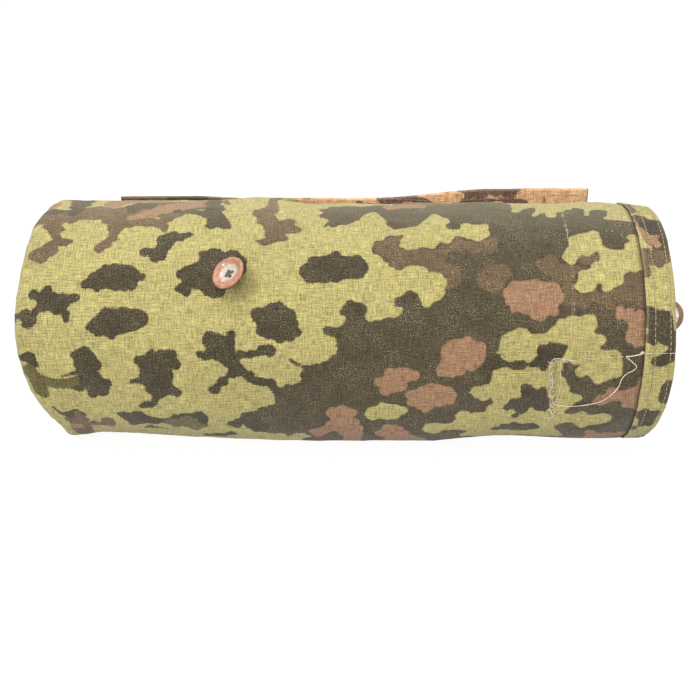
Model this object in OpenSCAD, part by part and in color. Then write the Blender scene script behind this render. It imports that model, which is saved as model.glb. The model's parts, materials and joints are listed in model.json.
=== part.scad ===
// Hand warmer muff: a padded cloth tube with a bound cuff at its right end, a
// reversible flap along its back and two dished metal buttons.
// The tunnel runs along X. The part rests on its flattened underside at z = 0.

/* [Tube] */
// Length of the muff from mouth to mouth
muff_len = 310; // [260:5:360]
// Outer radius of the cover
shell_r = 61; // [55:1:70]
// How far the underside settles flat under its own weight
settle = 4; // [2:0.5:6]
// Thickness of one layer of cover cloth
cloth = 1; // [0.8:0.1:1.2]
// Radius of the hand tunnel inside the lining
tunnel_r = 46; // [40:1:48]
// Thickness of the wool lining
lining_t = 2; // [1.5:0.5:3]
// How deep the cover is turned into the left mouth
turn_in = 24; // [15:1:35]

/* [Cuff] */
// Width of the binding folded over the right rim
cuff_w = 15.5; // [12:0.5:20]
// Distance of the first stitch row from the binding's free fold
cuff_row_inset = 4.5; // [3:0.5:6]
// Distance of the second stitch row from the rim
cuff_row_rim = 3; // [2:0.5:5]

/* [Flap] */
// Left end of the flap
flap_x0 = -126; // [-135:1:-110]
// Right end of the flap
flap_x1 = 134; // [110:1:136]
// Height of the free cloth above its root
flap_h = 48; // [35:1:50]
// Height of the turned hem along the free edge
flap_hem = 9; // [6:1:12]

/* [Buttons] */
// Diameter of the dished buttons
button_d = 17; // [14:0.5:20]
// Length of the thread shank under a button
shank_len = 3.5; // [3.4:0.1:4]
// Position of the front button along the tunnel
button_x = -53; // [-80:1:-30]
// Angle of the front button above the front of the tube
button_at = 37.5; // [20:0.5:60]
// How far the front button leans over at rest
button_lean = 30; // [10:1:30]
// Direction of that lean, upwards from straight towards the left mouth
button_heading = 24; // [0:1:45]
// Angle of the cuff button above the front of the tube
cuff_button_at = 22; // [5:1:35]
// How far the cuff button leans out of the right mouth at rest
cuff_button_lean = 20; // [5:1:25]

/* [Hidden] */
$fn = 96;

x0 = -muff_len / 2;
x1 = muff_len / 2;
axis_z = shell_r - settle;
cuff_x = x1 - cuff_w;
wad_r = shell_r - cloth;          // outside of the wadding
liner_r = tunnel_r + lining_t;    // outside of the lining
gap = 0.05;                       // clearance under thread that lies on cloth
thread_d = 0.45;                  // sewing thread
tape_t = 1;                       // thickness of seam tapes
flap_t = 1.2;                     // thickness of the flap cloth
flap_z0 = axis_z + 6;
flap_y0 = shell_r + 1.2;
hem_t = 0.8;

rim_r = button_d / 2;
dish_t = 1.1;                     // metal thickness of a button
hole_r = 0.85;
hole_pitch = 1.75;                // from the button's centre to each hole
anchor_r = 0.8;
shank_r = 1.2;
shank_foot = 1;                   // thread shank starts this far above its root
cuff_root_x = x1 - 1.2;

mend_x0 = 96;
mend_x1 = 108;
mend_low = -32;
run_x0 = 110;
run_x1 = 130;
seam_x = 106;

// Loose thread: place along the tunnel, distance round the cover above its
// front, and lift off the cloth. Both ends go back into the mend.
thread_free_d = 0.5;
thread_steps = 4;
thread_route = [
    [100, -24, 0.4], [106, -25, 0.5], [112, -25, 0.7], [117, -24, 0.9],
    [122, -22, 1.0], [126, -18, 1.0], [129, -13, 0.9], [130, -9, 0.8],
    [132, -6, 0.7], [135, -4, 0.7], [136, -2, 0.7], [134, 0, 0.6],
    [131, 2.5, 0.5]
];

// A round profile of radius r whose underside has settled flat.
module settled(r) {
    intersection() {
        circle(r = r);
        translate([-2 * shell_r, -(r - settle)]) square([4 * shell_r, 4 * shell_r]);
    }
}

// Carries a profile drawn in (y, z) along the tunnel from a to b.
module along(a, b) {
    translate([a, 0, axis_z]) rotate([90, 0, 90]) linear_extrude(height = b - a) children();
}

// A settled tube wall between two radii.
module wall(a, b, outer, inner) {
    along(a, b) difference() {
        settled(outer);
        settled(inner);
    }
}

// A strip of a round wall, from one angle to another about the tunnel.
// Angles are measured from the front of the tube upwards.
module strip(a, b, inner, outer, from, to) {
    reach = 2 * outer;
    along(a, b) intersection() {
        difference() {
            circle(r = outer);
            circle(r = inner);
        }
        polygon([[0, 0], for (t = [0 : 4]) let (u = from + (to - from) * t / 4)
            [-reach * cos(u), reach * sin(u)]]);
    }
}

// A thread that runs once round the tube, open where the tube rests.
module thread_round(x, r) {
    along(x - thread_d / 2, x + thread_d / 2) difference() {
        intersection() {
            circle(r = r + gap + thread_d);
            translate([-2 * shell_r, settle - shell_r]) square([4 * shell_r, 4 * shell_r]);
        }
        circle(r = r + gap);
    }
}

// A thread along the tunnel at one angle of the cover.
module thread_along(a, b, r, angle) {
    translate([a, -(r + gap + thread_d / 2) * cos(angle),
               axis_z + (r + gap + thread_d / 2) * sin(angle)])
        rotate([0, 90, 0]) cylinder(d = thread_d, h = b - a, $fn = 8);
}

// Puts its children on the cover, their Z out of the cloth.
module on_cover(x, angle, r = shell_r) {
    translate([x, 0, axis_z]) rotate([90 - angle, 0, 0]) translate([0, 0, r]) children();
}

// One stitch on the cover, of a given length and heading in the cloth's plane.
module stitch(x, arc, len, heading, d = thread_d) {
    lift = gap + d / 2 + len * len * pow(sin(heading), 2) / (8 * shell_r);
    on_cover(x, arc_angle(arc), shell_r + lift)
        rotate([0, 0, heading]) rotate([0, 90, 0]) cylinder(d = d, h = len, center = true, $fn = 8);
}

function arc_angle(arc) = arc / shell_r * 180 / PI;

// A dished button, its back at z = 0 and its hollow face up.
module dish_button() {
    difference() {
        rotate_extrude() polygon([
            [0, 0], [4.2, 0], [rim_r - 1, 1.1], [rim_r - 0.25, 1.5], [rim_r, 2.1],
            [rim_r - 0.3, 2.8], [rim_r - 1, 3.1], [rim_r - 1.8, 2.9], [rim_r - 2.6, 2.1],
            [3.6, dish_t], [0, dish_t]
        ]);
        for (i = [0 : 3]) rotate([0, 0, 45 + 90 * i])
            translate([hole_pitch, 0, -1]) cylinder(r = hole_r, h = 4, $fn = 24);
    }
}

// Threads that cross the hollow of a button between its holes.
module dish_threads() {
    for (s = [-1, 1]) translate([0, s * hole_pitch * cos(45), dish_t + gap + 0.3])
        rotate([0, 90, 0]) cylinder(r = 0.3, h = 2 * hole_pitch * cos(45) + hole_r,
                                    center = true, $fn = 8);
}

module thread_shank() {
    translate([0, 0, shank_foot]) cylinder(r = shank_r, h = shank_len - shank_foot - gap, $fn = 32);
}

// The front button's own frame: root on the cover, leaning up and to the left.
module front_button_frame() {
    on_cover(button_x, button_at) rotate([0, 0, -button_heading]) rotate([0, -button_lean, 0])
        children();
}

// The cuff button's own frame: root inside the rim, facing into the tunnel and out of its mouth.
module cuff_button_frame(lean = cuff_button_lean) {
    on_cover(cuff_root_x, cuff_button_at, tunnel_r - cloth) rotate([180, 0, 0])
        rotate([0, lean, 0]) children();
}

module outer_shell() {
    color("darkkhaki") union() {
        wall(x0, cuff_x - cloth, shell_r, wad_r);
        wall(cuff_x - 2 * cloth, cuff_x - cloth, shell_r, wad_r - cloth);
        wall(cuff_x - cloth - 0.01, x1 - cloth, wad_r, wad_r - cloth);
        wall(x0, x0 + cloth, shell_r, tunnel_r - cloth);
        wall(x0, x0 + turn_in, tunnel_r, tunnel_r - cloth);
    }
}

module back_seam() {
    color("darkkhaki") strip(x0 + cloth, cuff_x - 1.5, shell_r, shell_r + tape_t, 194, 203);
}

module back_seam_stitches() {
    color("tan") for (a = [195.5, 201.5])
        thread_along(x0 + 6, cuff_x - 6, shell_r + tape_t, a);
}

module wadding() {
    color("white") union() {
        wall(x0 + cloth, cuff_x - 2 * cloth, wad_r, liner_r);
        wall(cuff_x - 2 * cloth - 0.01, x1 - cloth, wad_r - cloth, liner_r);
    }
}

module lining() {
    color("gray") wall(x0 + cloth, x1 - cloth, liner_r, tunnel_r);
}

module lining_seam() {
    color("dimgray") strip(x0 + turn_in + 4, cuff_x - 3, tunnel_r - tape_t, tunnel_r, 186, 194);
}

module left_hem_stitches() {
    color("tan") along(x0 + turn_in - 4, x0 + turn_in - 4 + thread_d) difference() {
        settled(tunnel_r - cloth - gap);
        settled(tunnel_r - cloth - gap - thread_d);
    }
}

module cuff_binding() {
    color("khaki") union() {
        wall(cuff_x, x1, shell_r, wad_r);
        wall(x1 - cloth, x1, shell_r, tunnel_r - cloth);
        wall(cuff_x + 1.5, x1, tunnel_r, tunnel_r - cloth);
    }
}

module cuff_stitches_inner() {
    color("ivory") thread_round(cuff_x + cuff_row_inset, shell_r);
}

module cuff_stitches_rim() {
    color("ivory") thread_round(x1 - cuff_row_rim, shell_r);
}

module flap_root_tape() {
    color("darkkhaki") strip(flap_x0, flap_x1, shell_r, shell_r + tape_t, 176, 190);
}

module flap_root_stitches() {
    color("tan") for (a = [178, 188])
        thread_along(flap_x0 + 3, flap_x1 - 3, shell_r + tape_t, a);
}

// Thick whip stitches that go down the tear and along its foot.
module mend_whip_stitches() {
    pitch = 1.6;
    color("ivory") {
        for (s = [-2 : -pitch : mend_low]) stitch(mend_x0 + (s / mend_low) * 3, s, 3.4, 12, 0.6);
        for (x = [mend_x0 + 3 : pitch : mend_x1]) stitch(x, 0.3, 2.6, 72, 0.6);
    }
}

module mend_running_stitches() {
    pitch = 4.2;
    color("ivory") for (x = [run_x0 : pitch : run_x1 - 3])
        stitch(x, (x - mend_x1) * 0.12, 2.8, 6);
}

// The heavy bar that ties the mend down beside the cuff.
module mend_bar_tack() {
    color("ivory") stitch(135, 3.6, 8, 3, 0.7);
}

// Ends of an unpicked seam, in a broken row along the worn crease.
module old_seam_threads() {
    color("ivory") {
        for (s = [55 : 3.6 : 84]) stitch(seam_x + (s - 55) * 0.04, s, 2.4, 86);
        for (x = [seam_x + 10 : 5 : seam_x + 27]) stitch(x, 67, 2.2, 10);
    }
}

// The loose thread is swept as rings about a smooth curve through its route.
function on_shell(p) = let (r = shell_r + thread_free_d / 2 + gap + p[2], a = arc_angle(p[1]))
    [p[0], -r * cos(a), axis_z + r * sin(a)];
function smooth(a, b, c, d, t) = 0.5 * ((2 * b) + (c - a) * t
    + (2 * a - 5 * b + 4 * c - d) * t * t + (3 * b - a - 3 * c + d) * t * t * t);
function unit(v) = v / norm(v);

module loose_thread() {
    pts = [for (p = thread_route) on_shell(p)];
    n = len(pts);
    line = [for (i = [0 : n - 2]) for (k = [0 : thread_steps - 1])
                smooth(pts[max(i - 1, 0)], pts[i], pts[i + 1], pts[min(i + 2, n - 1)],
                       k / thread_steps), pts[n - 1]];
    m = len(line);
    sides = 8;
    rings = [for (i = [0 : m - 1])
        let (dir = unit(line[min(i + 1, m - 1)] - line[max(i - 1, 0)]),
             out = [0, line[i][1], line[i][2] - axis_z],
             side = unit(cross(dir, out)),
             up = cross(side, dir))
        for (j = [0 : sides - 1])
            line[i] + thread_free_d / 2 * (cos(360 * j / sides) * side + sin(360 * j / sides) * up)];
    faces = concat(
        [[for (j = [0 : sides - 1]) j]],
        [for (i = [0 : m - 2]) for (j = [0 : sides - 1]) let (k = (j + 1) % sides)
            [i * sides + j, (i + 1) * sides + j, (i + 1) * sides + k, i * sides + k]],
        [[for (j = [sides - 1 : -1 : 0]) (m - 1) * sides + j]]);
    color("ivory") polyhedron(points = rings, faces = faces, convexity = 6);
}

module front_button_anchor() {
    color("gray") intersection() {
        on_cover(button_x, button_at) sphere(r = anchor_r, $fn = 24);
        on_cover(button_x, button_at) translate([-2, -2, gap]) cube([4, 4, 2]);
    }
}

module cuff_button_anchor() {
    color("gray") intersection() {
        cuff_button_frame(0) sphere(r = anchor_r, $fn = 24);
        cuff_button_frame(0) translate([-2, -2, gap]) cube([4, 4, 2]);
    }
}

module flap_panel() {
    color("peru") translate([flap_x0, flap_y0, flap_z0]) cube([flap_x1 - flap_x0, flap_t, flap_h]);
}

module flap_facing() {
    color("olive") translate([flap_x0, flap_y0 - hem_t, flap_z0 + flap_h - flap_hem])
        cube([flap_x1 - flap_x0, hem_t, flap_hem]);
}

module flap_hem_stitches() {
    color("ivory") translate([flap_x0 + 2, flap_y0 - hem_t - gap - thread_d / 2,
                              flap_z0 + flap_h - flap_hem + 2])
        rotate([0, 90, 0]) cylinder(d = thread_d, h = flap_x1 - flap_x0 - 4, $fn = 8);
}

// A turned end of the flap, on its outer side.
module flap_end_hem(x) {
    color("olive") translate([x, flap_y0 + flap_t, flap_z0 + 2]) cube([8, hem_t, flap_h - 3]);
}

module flap_end_hem_left() {
    flap_end_hem(flap_x0);
}

module flap_end_hem_right() {
    flap_end_hem(flap_x1 - 8);
}

module front_button_shank() {
    color("gray") front_button_frame() thread_shank();
}

module front_button() {
    color("darksalmon") front_button_frame() translate([0, 0, shank_len]) dish_button();
}

module front_button_threads() {
    color("gray") front_button_frame() translate([0, 0, shank_len]) dish_threads();
}

module cuff_button_shank() {
    color("gray") cuff_button_frame() thread_shank();
}

module cuff_button() {
    color("sienna") cuff_button_frame() translate([0, 0, shank_len]) dish_button();
}

module cuff_button_threads() {
    color("gray") cuff_button_frame() translate([0, 0, shank_len]) dish_threads();
}

outer_shell();
back_seam();
back_seam_stitches();
wadding();
lining();
lining_seam();
left_hem_stitches();
cuff_binding();
cuff_stitches_inner();
cuff_stitches_rim();
flap_root_tape();
flap_root_stitches();
mend_whip_stitches();
mend_running_stitches();
mend_bar_tack();
old_seam_threads();
loose_thread();
front_button_anchor();
cuff_button_anchor();
flap_panel();
flap_facing();
flap_hem_stitches();
flap_end_hem_left();
flap_end_hem_right();
front_button_shank();
front_button();
front_button_threads();
cuff_button_shank();
cuff_button();
cuff_button_threads();
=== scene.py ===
import json
import math
import random

import bpy
import numpy as np
from mathutils import Matrix, Vector


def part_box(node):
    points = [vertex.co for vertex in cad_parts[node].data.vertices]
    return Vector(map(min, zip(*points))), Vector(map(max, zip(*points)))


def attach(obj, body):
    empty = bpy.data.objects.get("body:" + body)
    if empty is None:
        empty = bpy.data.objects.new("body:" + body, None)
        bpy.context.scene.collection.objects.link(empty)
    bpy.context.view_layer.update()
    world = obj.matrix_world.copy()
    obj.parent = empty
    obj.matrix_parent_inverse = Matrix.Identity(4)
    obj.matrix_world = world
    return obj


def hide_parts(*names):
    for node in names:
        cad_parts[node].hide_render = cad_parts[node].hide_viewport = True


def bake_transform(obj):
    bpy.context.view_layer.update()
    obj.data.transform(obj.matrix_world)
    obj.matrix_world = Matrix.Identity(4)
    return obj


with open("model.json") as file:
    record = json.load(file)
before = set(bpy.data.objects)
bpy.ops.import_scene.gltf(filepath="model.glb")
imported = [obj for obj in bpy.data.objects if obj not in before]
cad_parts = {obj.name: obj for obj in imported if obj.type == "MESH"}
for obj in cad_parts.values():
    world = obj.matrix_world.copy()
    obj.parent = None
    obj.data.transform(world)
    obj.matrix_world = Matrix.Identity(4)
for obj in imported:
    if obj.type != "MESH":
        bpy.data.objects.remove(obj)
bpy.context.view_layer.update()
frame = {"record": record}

# A hand warmer muff that lies along X, its front towards -Y. Places on its cloth are given in mm as
# u or x, along the tunnel, and v or arc, round the cover from the front's middle, positive upwards.

# ---------------------------------------------------------------- sizes, in millimetres, from the frame
MM = 0.001
shell_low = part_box("outer_shell")[0]
cuff_low, cuff_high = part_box("cuff_binding")
tape_low, tape_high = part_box("flap_root_tape")
X0 = shell_low.x / MM                       # left mouth
X1 = cuff_high.x / MM                       # right mouth
CUFF_X = cuff_low.x / MM                    # free fold of the cuff binding
TUBE_TOP = cuff_high.z / MM
SHELL_R = 61.0
AXIS_Z = TUBE_TOP - SHELL_R                 # height of the tunnel's axis
TUNNEL_R = 45.0
FLAP_X0, FLAP_X1 = tape_low.x / MM, tape_high.x / MM
FLAP_ROOT_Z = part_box("flap_panel")[0].z / MM
FLAP_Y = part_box("flap_panel")[0].y / MM
TURN = 2 * math.pi * SHELL_R                # once round the cover
SEAM_ARC = 198 / 360 * TURN                 # where the cover's edges meet, under the back seam
THREAD_R = 0.2                              # machine sewing thread
CUFF_ROWS = (144.4, 152.2)                  # places of the two stitch rows of the cuff
JOINTS = {joint["name"]: joint for joint in frame["record"]["behaviour"]["joints"]}
button_root = Vector(JOINTS["front_button_twist"]["pos_m"]) / MM
BUTTON_X = button_root.x
BUTTON_ARC = math.atan2(button_root.z - AXIS_Z, -button_root.y) * SHELL_R
SHANK_LEN = 3.5                             # thread shank under a button
ROUND_STEPS = 318                           # mesh steps round the cover
WEAVE_PITCH = 0.62                          # from one thread of the cloth to the next but one
CUFF_STITCH, SEAM_STITCH, HEM_STITCH = 2.75, 2.9, 3.4       # from one stitch to the next
SEAM_TOP, TAPE_TOP = 0.9, 1.9               # how far a folded seam and the flap's tape stand out
LINING_T = 1.7                              # thickness of the wool

# ---------------------------------------------------------------- small helpers
def smoothstep(a, b, t):
    u = np.clip((np.asarray(t, float) - a) / (b - a), 0, 1)
    return u * u * (3 - 2 * u)


def bell(t, centre, width):
    return np.exp(-((np.asarray(t, float) - centre) / width) ** 2)


def hashed(ix, iy, iz, seed):
    """A repeatable value from -1 to 1 for each lattice point."""
    h = (ix * 73856093) ^ (iy * 19349663) ^ (iz * 83492791) ^ (seed * 2654435761 + 97)
    h = h & 0xFFFFFFFF
    h = ((h ^ (h >> 15)) * 2246822519) & 0xFFFFFFFF
    h = ((h ^ (h >> 13)) * 3266489917) & 0xFFFFFFFF
    return ((h ^ (h >> 16)) & 0xFFFF) / 32767.5 - 1


def noise(points, size, seed=0):
    """Smooth value noise from -1 to 1 at points (..., 3), with features of the given size."""
    q = np.asarray(points, float) / size
    i = np.floor(q).astype(np.int64)
    f = q - i
    w = f * f * f * (f * (f * 6 - 15) + 10)
    total = 0
    for dx in (0, 1):
        for dy in (0, 1):
            for dz in (0, 1):
                part = (w[..., 0] if dx else 1 - w[..., 0]) * (w[..., 1] if dy else 1 - w[..., 1])
                part = part * (w[..., 2] if dz else 1 - w[..., 2])
                total = total + part * hashed(i[..., 0] + dx, i[..., 1] + dy, i[..., 2] + dz, seed)
    return total


def link(name, mesh):
    obj = bpy.data.objects.new(name, mesh)
    bpy.context.scene.collection.objects.link(obj)
    return obj


def mesh_object(name, points_mm, faces, smooth=True):
    mesh = bpy.data.meshes.new(name)
    mesh.from_pydata([tuple(p) for p in np.asarray(points_mm, float) * MM], [], faces)
    mesh.validate()
    mesh.polygons.foreach_set("use_smooth", [smooth] * len(mesh.polygons))
    mesh.update()
    return link(name, mesh)


def grid_faces(rows, columns, flip=False):
    faces = []
    for i in range(rows - 1):
        for j in range(columns - 1):
            a = i * columns + j
            quad = (a, a + 1, a + columns + 1, a + columns)
            faces.append(quad[::-1] if flip else quad)
    return faces


def ring_faces(rows, columns, closed=False):
    """Faces of a grid whose rows close on themselves; closed joins the last row to the first too."""
    faces = []
    for i in range(rows if closed else rows - 1):
        for j in range(columns):
            k, far = (j + 1) % columns, (i + 1) % rows * columns
            faces.append((i * columns + j, far + j, far + k, i * columns + k))
    return faces


def tube_faces(rings, sides, start=0):
    """Faces of a tube with both ends closed, facing outwards."""
    faces = [(start + a, start + d, start + c, start + b) for a, b, c, d in ring_faces(rings, sides)]
    last = start + (rings - 1) * sides
    return faces + [tuple(range(start, start + sides))[::-1], tuple(range(last, last + sides))]


def set_attribute(obj, name, values, kind="FLOAT"):
    values = np.asarray(values, np.float32)
    attribute = obj.data.attributes.new(name, kind, "POINT")
    attribute.data.foreach_set("vector" if kind == "FLOAT_VECTOR" else "value", values.ravel())


class Surface:
    """A cloth surface: a grid of points over cloth coordinates u (along) and v (round).

    A surface with a period closes on itself in v. Its normals are turned over by side=-1."""

    def __init__(self, u, v, points, period=None, side=1):
        self.u, self.v, self.points = np.asarray(u, float), np.asarray(v, float), points
        self.period, self.side = period, side
        du = np.gradient(points, axis=0)
        dv = np.gradient(points, axis=1)
        normal = np.cross(du, dv) * side
        self.normals = normal / (np.linalg.norm(normal, axis=2, keepdims=True) + 1e-12)

    def at(self, u, v, lift=0.0):
        """Points on the cloth, raised by lift along its outer normal."""
        u, v = np.broadcast_arrays(np.asarray(u, float), np.asarray(v, float))
        if self.period:
            v = self.v[0] + (v - self.v[0]) % self.period
        fu = np.interp(u, self.u, np.arange(len(self.u)))
        fv = np.interp(v, self.v, np.arange(len(self.v)))
        i = np.clip(fu.astype(int), 0, len(self.u) - 2)
        j = np.clip(fv.astype(int), 0, len(self.v) - 2)
        a, b = (fu - i)[..., None], (fv - j)[..., None]
        mix = lambda g: ((g[i, j] * (1 - a) + g[i + 1, j] * a) * (1 - b)
                         + (g[i, j + 1] * (1 - a) + g[i + 1, j + 1] * a) * b)
        return mix(self.points) + mix(self.normals) * np.asarray(lift, float)[..., None]


# ---------------------------------------------------------------- camera
LENS = 59.0
CAMERA_DISTANCE = 600.0
CAMERA_TILT = math.radians(20)
aim = Vector((1.6, -15.4 * math.sin(CAMERA_TILT), AXIS_Z - 15.4 * math.cos(CAMERA_TILT)))
view_direction = Vector((0, math.cos(CAMERA_TILT), -math.sin(CAMERA_TILT)))
camera = bpy.data.objects.new("camera", bpy.data.cameras.new("camera"))
bpy.context.scene.collection.objects.link(camera)
camera.data.lens = LENS
camera.data.sensor_width = 36
camera.data.clip_end = 50
camera.location = (aim - view_direction * CAMERA_DISTANCE) * MM
camera.rotation_euler = view_direction.to_track_quat("-Z", "Y").to_euler()
bpy.context.scene.camera = camera
bpy.context.scene.view_settings.view_transform = "Standard"

# ---------------------------------------------------------------- shape of the padded tube
# How the front bulges over the floor: mm outwards, place and reach along, angle and spread in degrees.
SWELLS = (
    (3.6, 0, 58, -52, 24),                  # the middle slumps forward
    (-2.6, -115, 42, -64, 28),              # the left end rides a little higher
    (-2.0, 80, 22, -62, 24), (1.2, 124, 16, -60, 24),
)


def tube_swell(x, deg):
    """How far the soft tube stands out from a true cylinder, in mm."""
    swell = 0
    for size, place, reach, angle, spread in SWELLS:
        swell = swell + size * bell(x, place, reach) * bell(deg, angle, spread)
    crown = bell(deg, 108, 24)
    swell += crown * (1.3 * smoothstep(-20, -38, x) + 1.5 * bell(x, -45, 14) - 1.6 * bell(x, 152, 8))
    swell += crown * 0.8 * (bell(x, 35, 9) + bell(x, 72, 12) + bell(x, 125, 10))
    return swell


def end_shift(x, deg):
    """How far each place moves along the tunnel, because the stuffed ends aren't cut square."""
    left = 1.5 * bell(deg, 66, 26) + 1.8 * bell(deg, 14, 26) - 8.5 * bell(deg, -52, 26)
    left += -3.0 * bell(deg, 100, 20) + 1.4 * np.sin(np.radians(deg * 3 + 40))
    fold_line = 1.1 + 1.0 * bell(deg, -50, 22)
    rim = 0.9 * bell(deg, -8, 22) - 1.2 * bell(deg, 95, 25) - 4.0 * bell(deg, -72, 26)
    t = smoothstep(CUFF_X, X1, x)
    right = smoothstep(CUFF_X - 26, CUFF_X, x) * (fold_line * (1 - t) + rim * t)
    return right - smoothstep(X0 + 36, X0 + 2, x) * left


def folds(points, x, arc):
    """Dents, soft folds and ripples of worn cloth over wadding, in mm."""
    along = np.stack([x * 0.45, points[..., 1], points[..., 2]], -1)
    out = 0.9 * noise(points, 46, 1) + 0.5 * noise(along, 20, 2)
    ridge = 1 - np.abs(noise(along + 300, 13, 3))
    out += 0.5 * (ridge ** 3 - 0.35)
    out += 0.16 * noise(points, 6.5, 4) + 0.05 * noise(points, 2.6, 5)
    round_only = np.stack([x * 0.12, points[..., 1], points[..., 2]], -1)
    out += bell(x, X0, 17) * 0.9 * (1 - np.abs(noise(round_only, 9, 6))) ** 2
    out += bell(x, CUFF_X, 9) * 0.5 * noise(round_only + 70, 6, 7)
    # the button's shank pulls a dimple, with short folds running out of it
    dx, ds = x - BUTTON_X, arc - BUTTON_ARC
    dist = np.hypot(dx, ds)
    out -= 0.9 * np.exp(-(dist / 6) ** 2)
    out += 0.4 * np.sin(np.arctan2(ds, dx) * 5 + 0.7) * np.exp(-((dist - 13) / 9) ** 2)
    out += 1.3 * (bell(dx, -3, 3.2) - 0.9 * bell(dx, 1.5, 2.6)) * bell(ds, -26, 15)
    out += 1.2 * (bell(x, X0 + 17 + 0.12 * arc, 3) - bell(x, X0 + 12 + 0.12 * arc, 3)) * bell(arc, -18, 20)
    # the mend puckers the cloth, and the old seam leaves a ridge
    out -= 0.7 * bell(x, 98, 2.2) * smoothstep(-36, -30, arc) * smoothstep(4, -1, arc)
    out += 0.5 * bell(x, 105, 5) * bell(arc, -14, 16)
    out -= 0.5 * bell(arc, 2.5, 1.8) * smoothstep(95, 99, x)
    out += 0.3 * bell(x, 106.3, 1.1) * smoothstep(-45, -38, arc) * smoothstep(92, 84, arc)
    return out


def tube_point(x, arc, radius, swell=1.0, fold=1.0):
    """A point of the tube's wall: x along, arc round it (0 at the front, positive upwards)."""
    x, arc, radius = np.broadcast_arrays(*(np.asarray(t, float) for t in (x, arc, radius)))
    angle = arc / SHELL_R
    deg = np.degrees((angle + math.pi) % (2 * math.pi) - math.pi)
    base = np.stack([x, -radius * np.cos(angle), AXIS_Z + radius * np.sin(angle)], -1)
    r = radius + swell * tube_swell(x, deg) + fold * folds(base, x, np.radians(deg) * SHELL_R)
    y, z = -r * np.cos(angle), AXIS_Z + r * np.sin(angle)
    rest = np.maximum(SHELL_R - radius, 0) + 0.3
    soft = 2.2
    z = rest + soft * np.logaddexp(0, (z - rest) / soft)       # lies on the floor with a soft edge
    return np.stack([x + end_shift(x, deg), y, z], -1)


def profile_length(rows, anchor):
    """Cloth length along a profile of (x, radius) rows, equal to x at the row numbered anchor."""
    length = np.concatenate([[0], np.cumsum(np.hypot(*np.diff(rows, axis=0).T))])
    return length + rows[anchor, 0] - length[anchor]


def tube_surface(rows, anchor, arcs, outer, fold, side=1):
    """The cloth surface that a profile of (x, radius) rows makes round the tube."""
    rows = np.array(rows, float)
    x = np.repeat(rows[:, :1], len(arcs), 1)
    r = np.repeat(rows[:, 1:], len(arcs), 1)
    arc = np.repeat(arcs[None], len(rows), 0)
    points = tube_point(x, arc, r, outer(r), fold(r))
    return Surface(profile_length(rows, anchor), arcs, points, period=TURN, side=side)


def round_arcs(count):
    return np.linspace(SEAM_ARC - TURN, SEAM_ARC, count + 1)


def by_radius(low, high):
    """A weight that grows from low at the tunnel to high at the cover."""
    return lambda r: low + (high - low) * smoothstep(TUNNEL_R, SHELL_R, r)


def cover_surface(rows, anchor):
    """A surface of the cover's cloth, whose dents fade towards the tunnel."""
    return tube_surface(rows, anchor, round_arcs(ROUND_STEPS), by_radius(0, 1), by_radius(0.25, 1))


END_R = (SHELL_R - TUNNEL_R) / 2            # roundness of the stuffed left end


def shell_rows():
    """The cover's section, from its turned edge in the left mouth to where it goes under the cuff."""
    rows = [(X0 + 23.2, TUNNEL_R + 1.0), (X0 + 24, TUNNEL_R + 0.9), (X0 + 24.1, TUNNEL_R + 0.4),
            (X0 + 23.4, TUNNEL_R)]
    rows += [(x, TUNNEL_R + 0.1) for x in np.arange(X0 + 22, X0 + END_R, -1.5)]
    for t in np.linspace(0, math.pi, 22)[1:-1]:
        rows.append((X0 + END_R - END_R * 0.98 * math.sin(t) ** 0.8,
                     (SHELL_R + TUNNEL_R) / 2 - END_R * math.cos(t)))
    anchor = len(rows)
    rows += [(x, SHELL_R) for x in np.arange(X0 + END_R, CUFF_X - 0.4, 1.2)]
    rows += [(CUFF_X + dx, SHELL_R - dr) for dx, dr in ((0, 0.4), (0.8, 0.9), (2, 1.1), (5, 1.1), (9, 1.1))]
    return rows, anchor


shell = cover_surface(*shell_rows())


def cuff_rows():
    """The binding's section: folded edge, outer face, rim and the part turned into the tunnel."""
    face = SHELL_R + 0.75                                   # lies over the cover's end
    rows = [(CUFF_X + 3, SHELL_R - 0.6), (CUFF_X + 1, SHELL_R - 0.4), (CUFF_X + 0.15, SHELL_R - 0.1),
            (CUFF_X, SHELL_R + 0.25), (CUFF_X + 0.3, SHELL_R + 0.6)]
    anchor = len(rows)
    for x in np.arange(CUFF_X + 1, X1 - 1.6, 0.65):
        pressed = sum(0.4 * bell(x, row, 0.9) for row in CUFF_ROWS)
        rows.append((x, face - pressed))
    rows += [(X1 - 1.2, face - 0.25), (X1 - 0.5, face - 0.9), (X1 - 0.1, face - 1.9)]
    rows += [(X1 + 0.5 * math.sin(math.pi * t), face - 2.6 - 11.4 * t) for t in np.linspace(0, 1, 9)]
    rows += [(X1 - 0.5, TUNNEL_R + 1), (X1 - 1.4, TUNNEL_R + 0.3)]
    rows += [(x, TUNNEL_R + 0.1) for x in np.arange(X1 - 2.6, CUFF_X + 3, -1.4)]
    rows += [(CUFF_X + 1.5, TUNNEL_R + 0.2), (CUFF_X + 1.3, TUNNEL_R + 0.7), (CUFF_X + 2, TUNNEL_R + 1)]
    return rows, anchor


cuff = cover_surface(*cuff_rows())

LINING_R = TUNNEL_R + 1
lining_rows = [(x, LINING_R) for x in np.arange(X0 + 3, X1 - 2, 2.5)]
lining = tube_surface(lining_rows, 0, round_arcs(180), by_radius(0, 1), lambda r: 0 * r + 0.4, side=-1)

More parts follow.
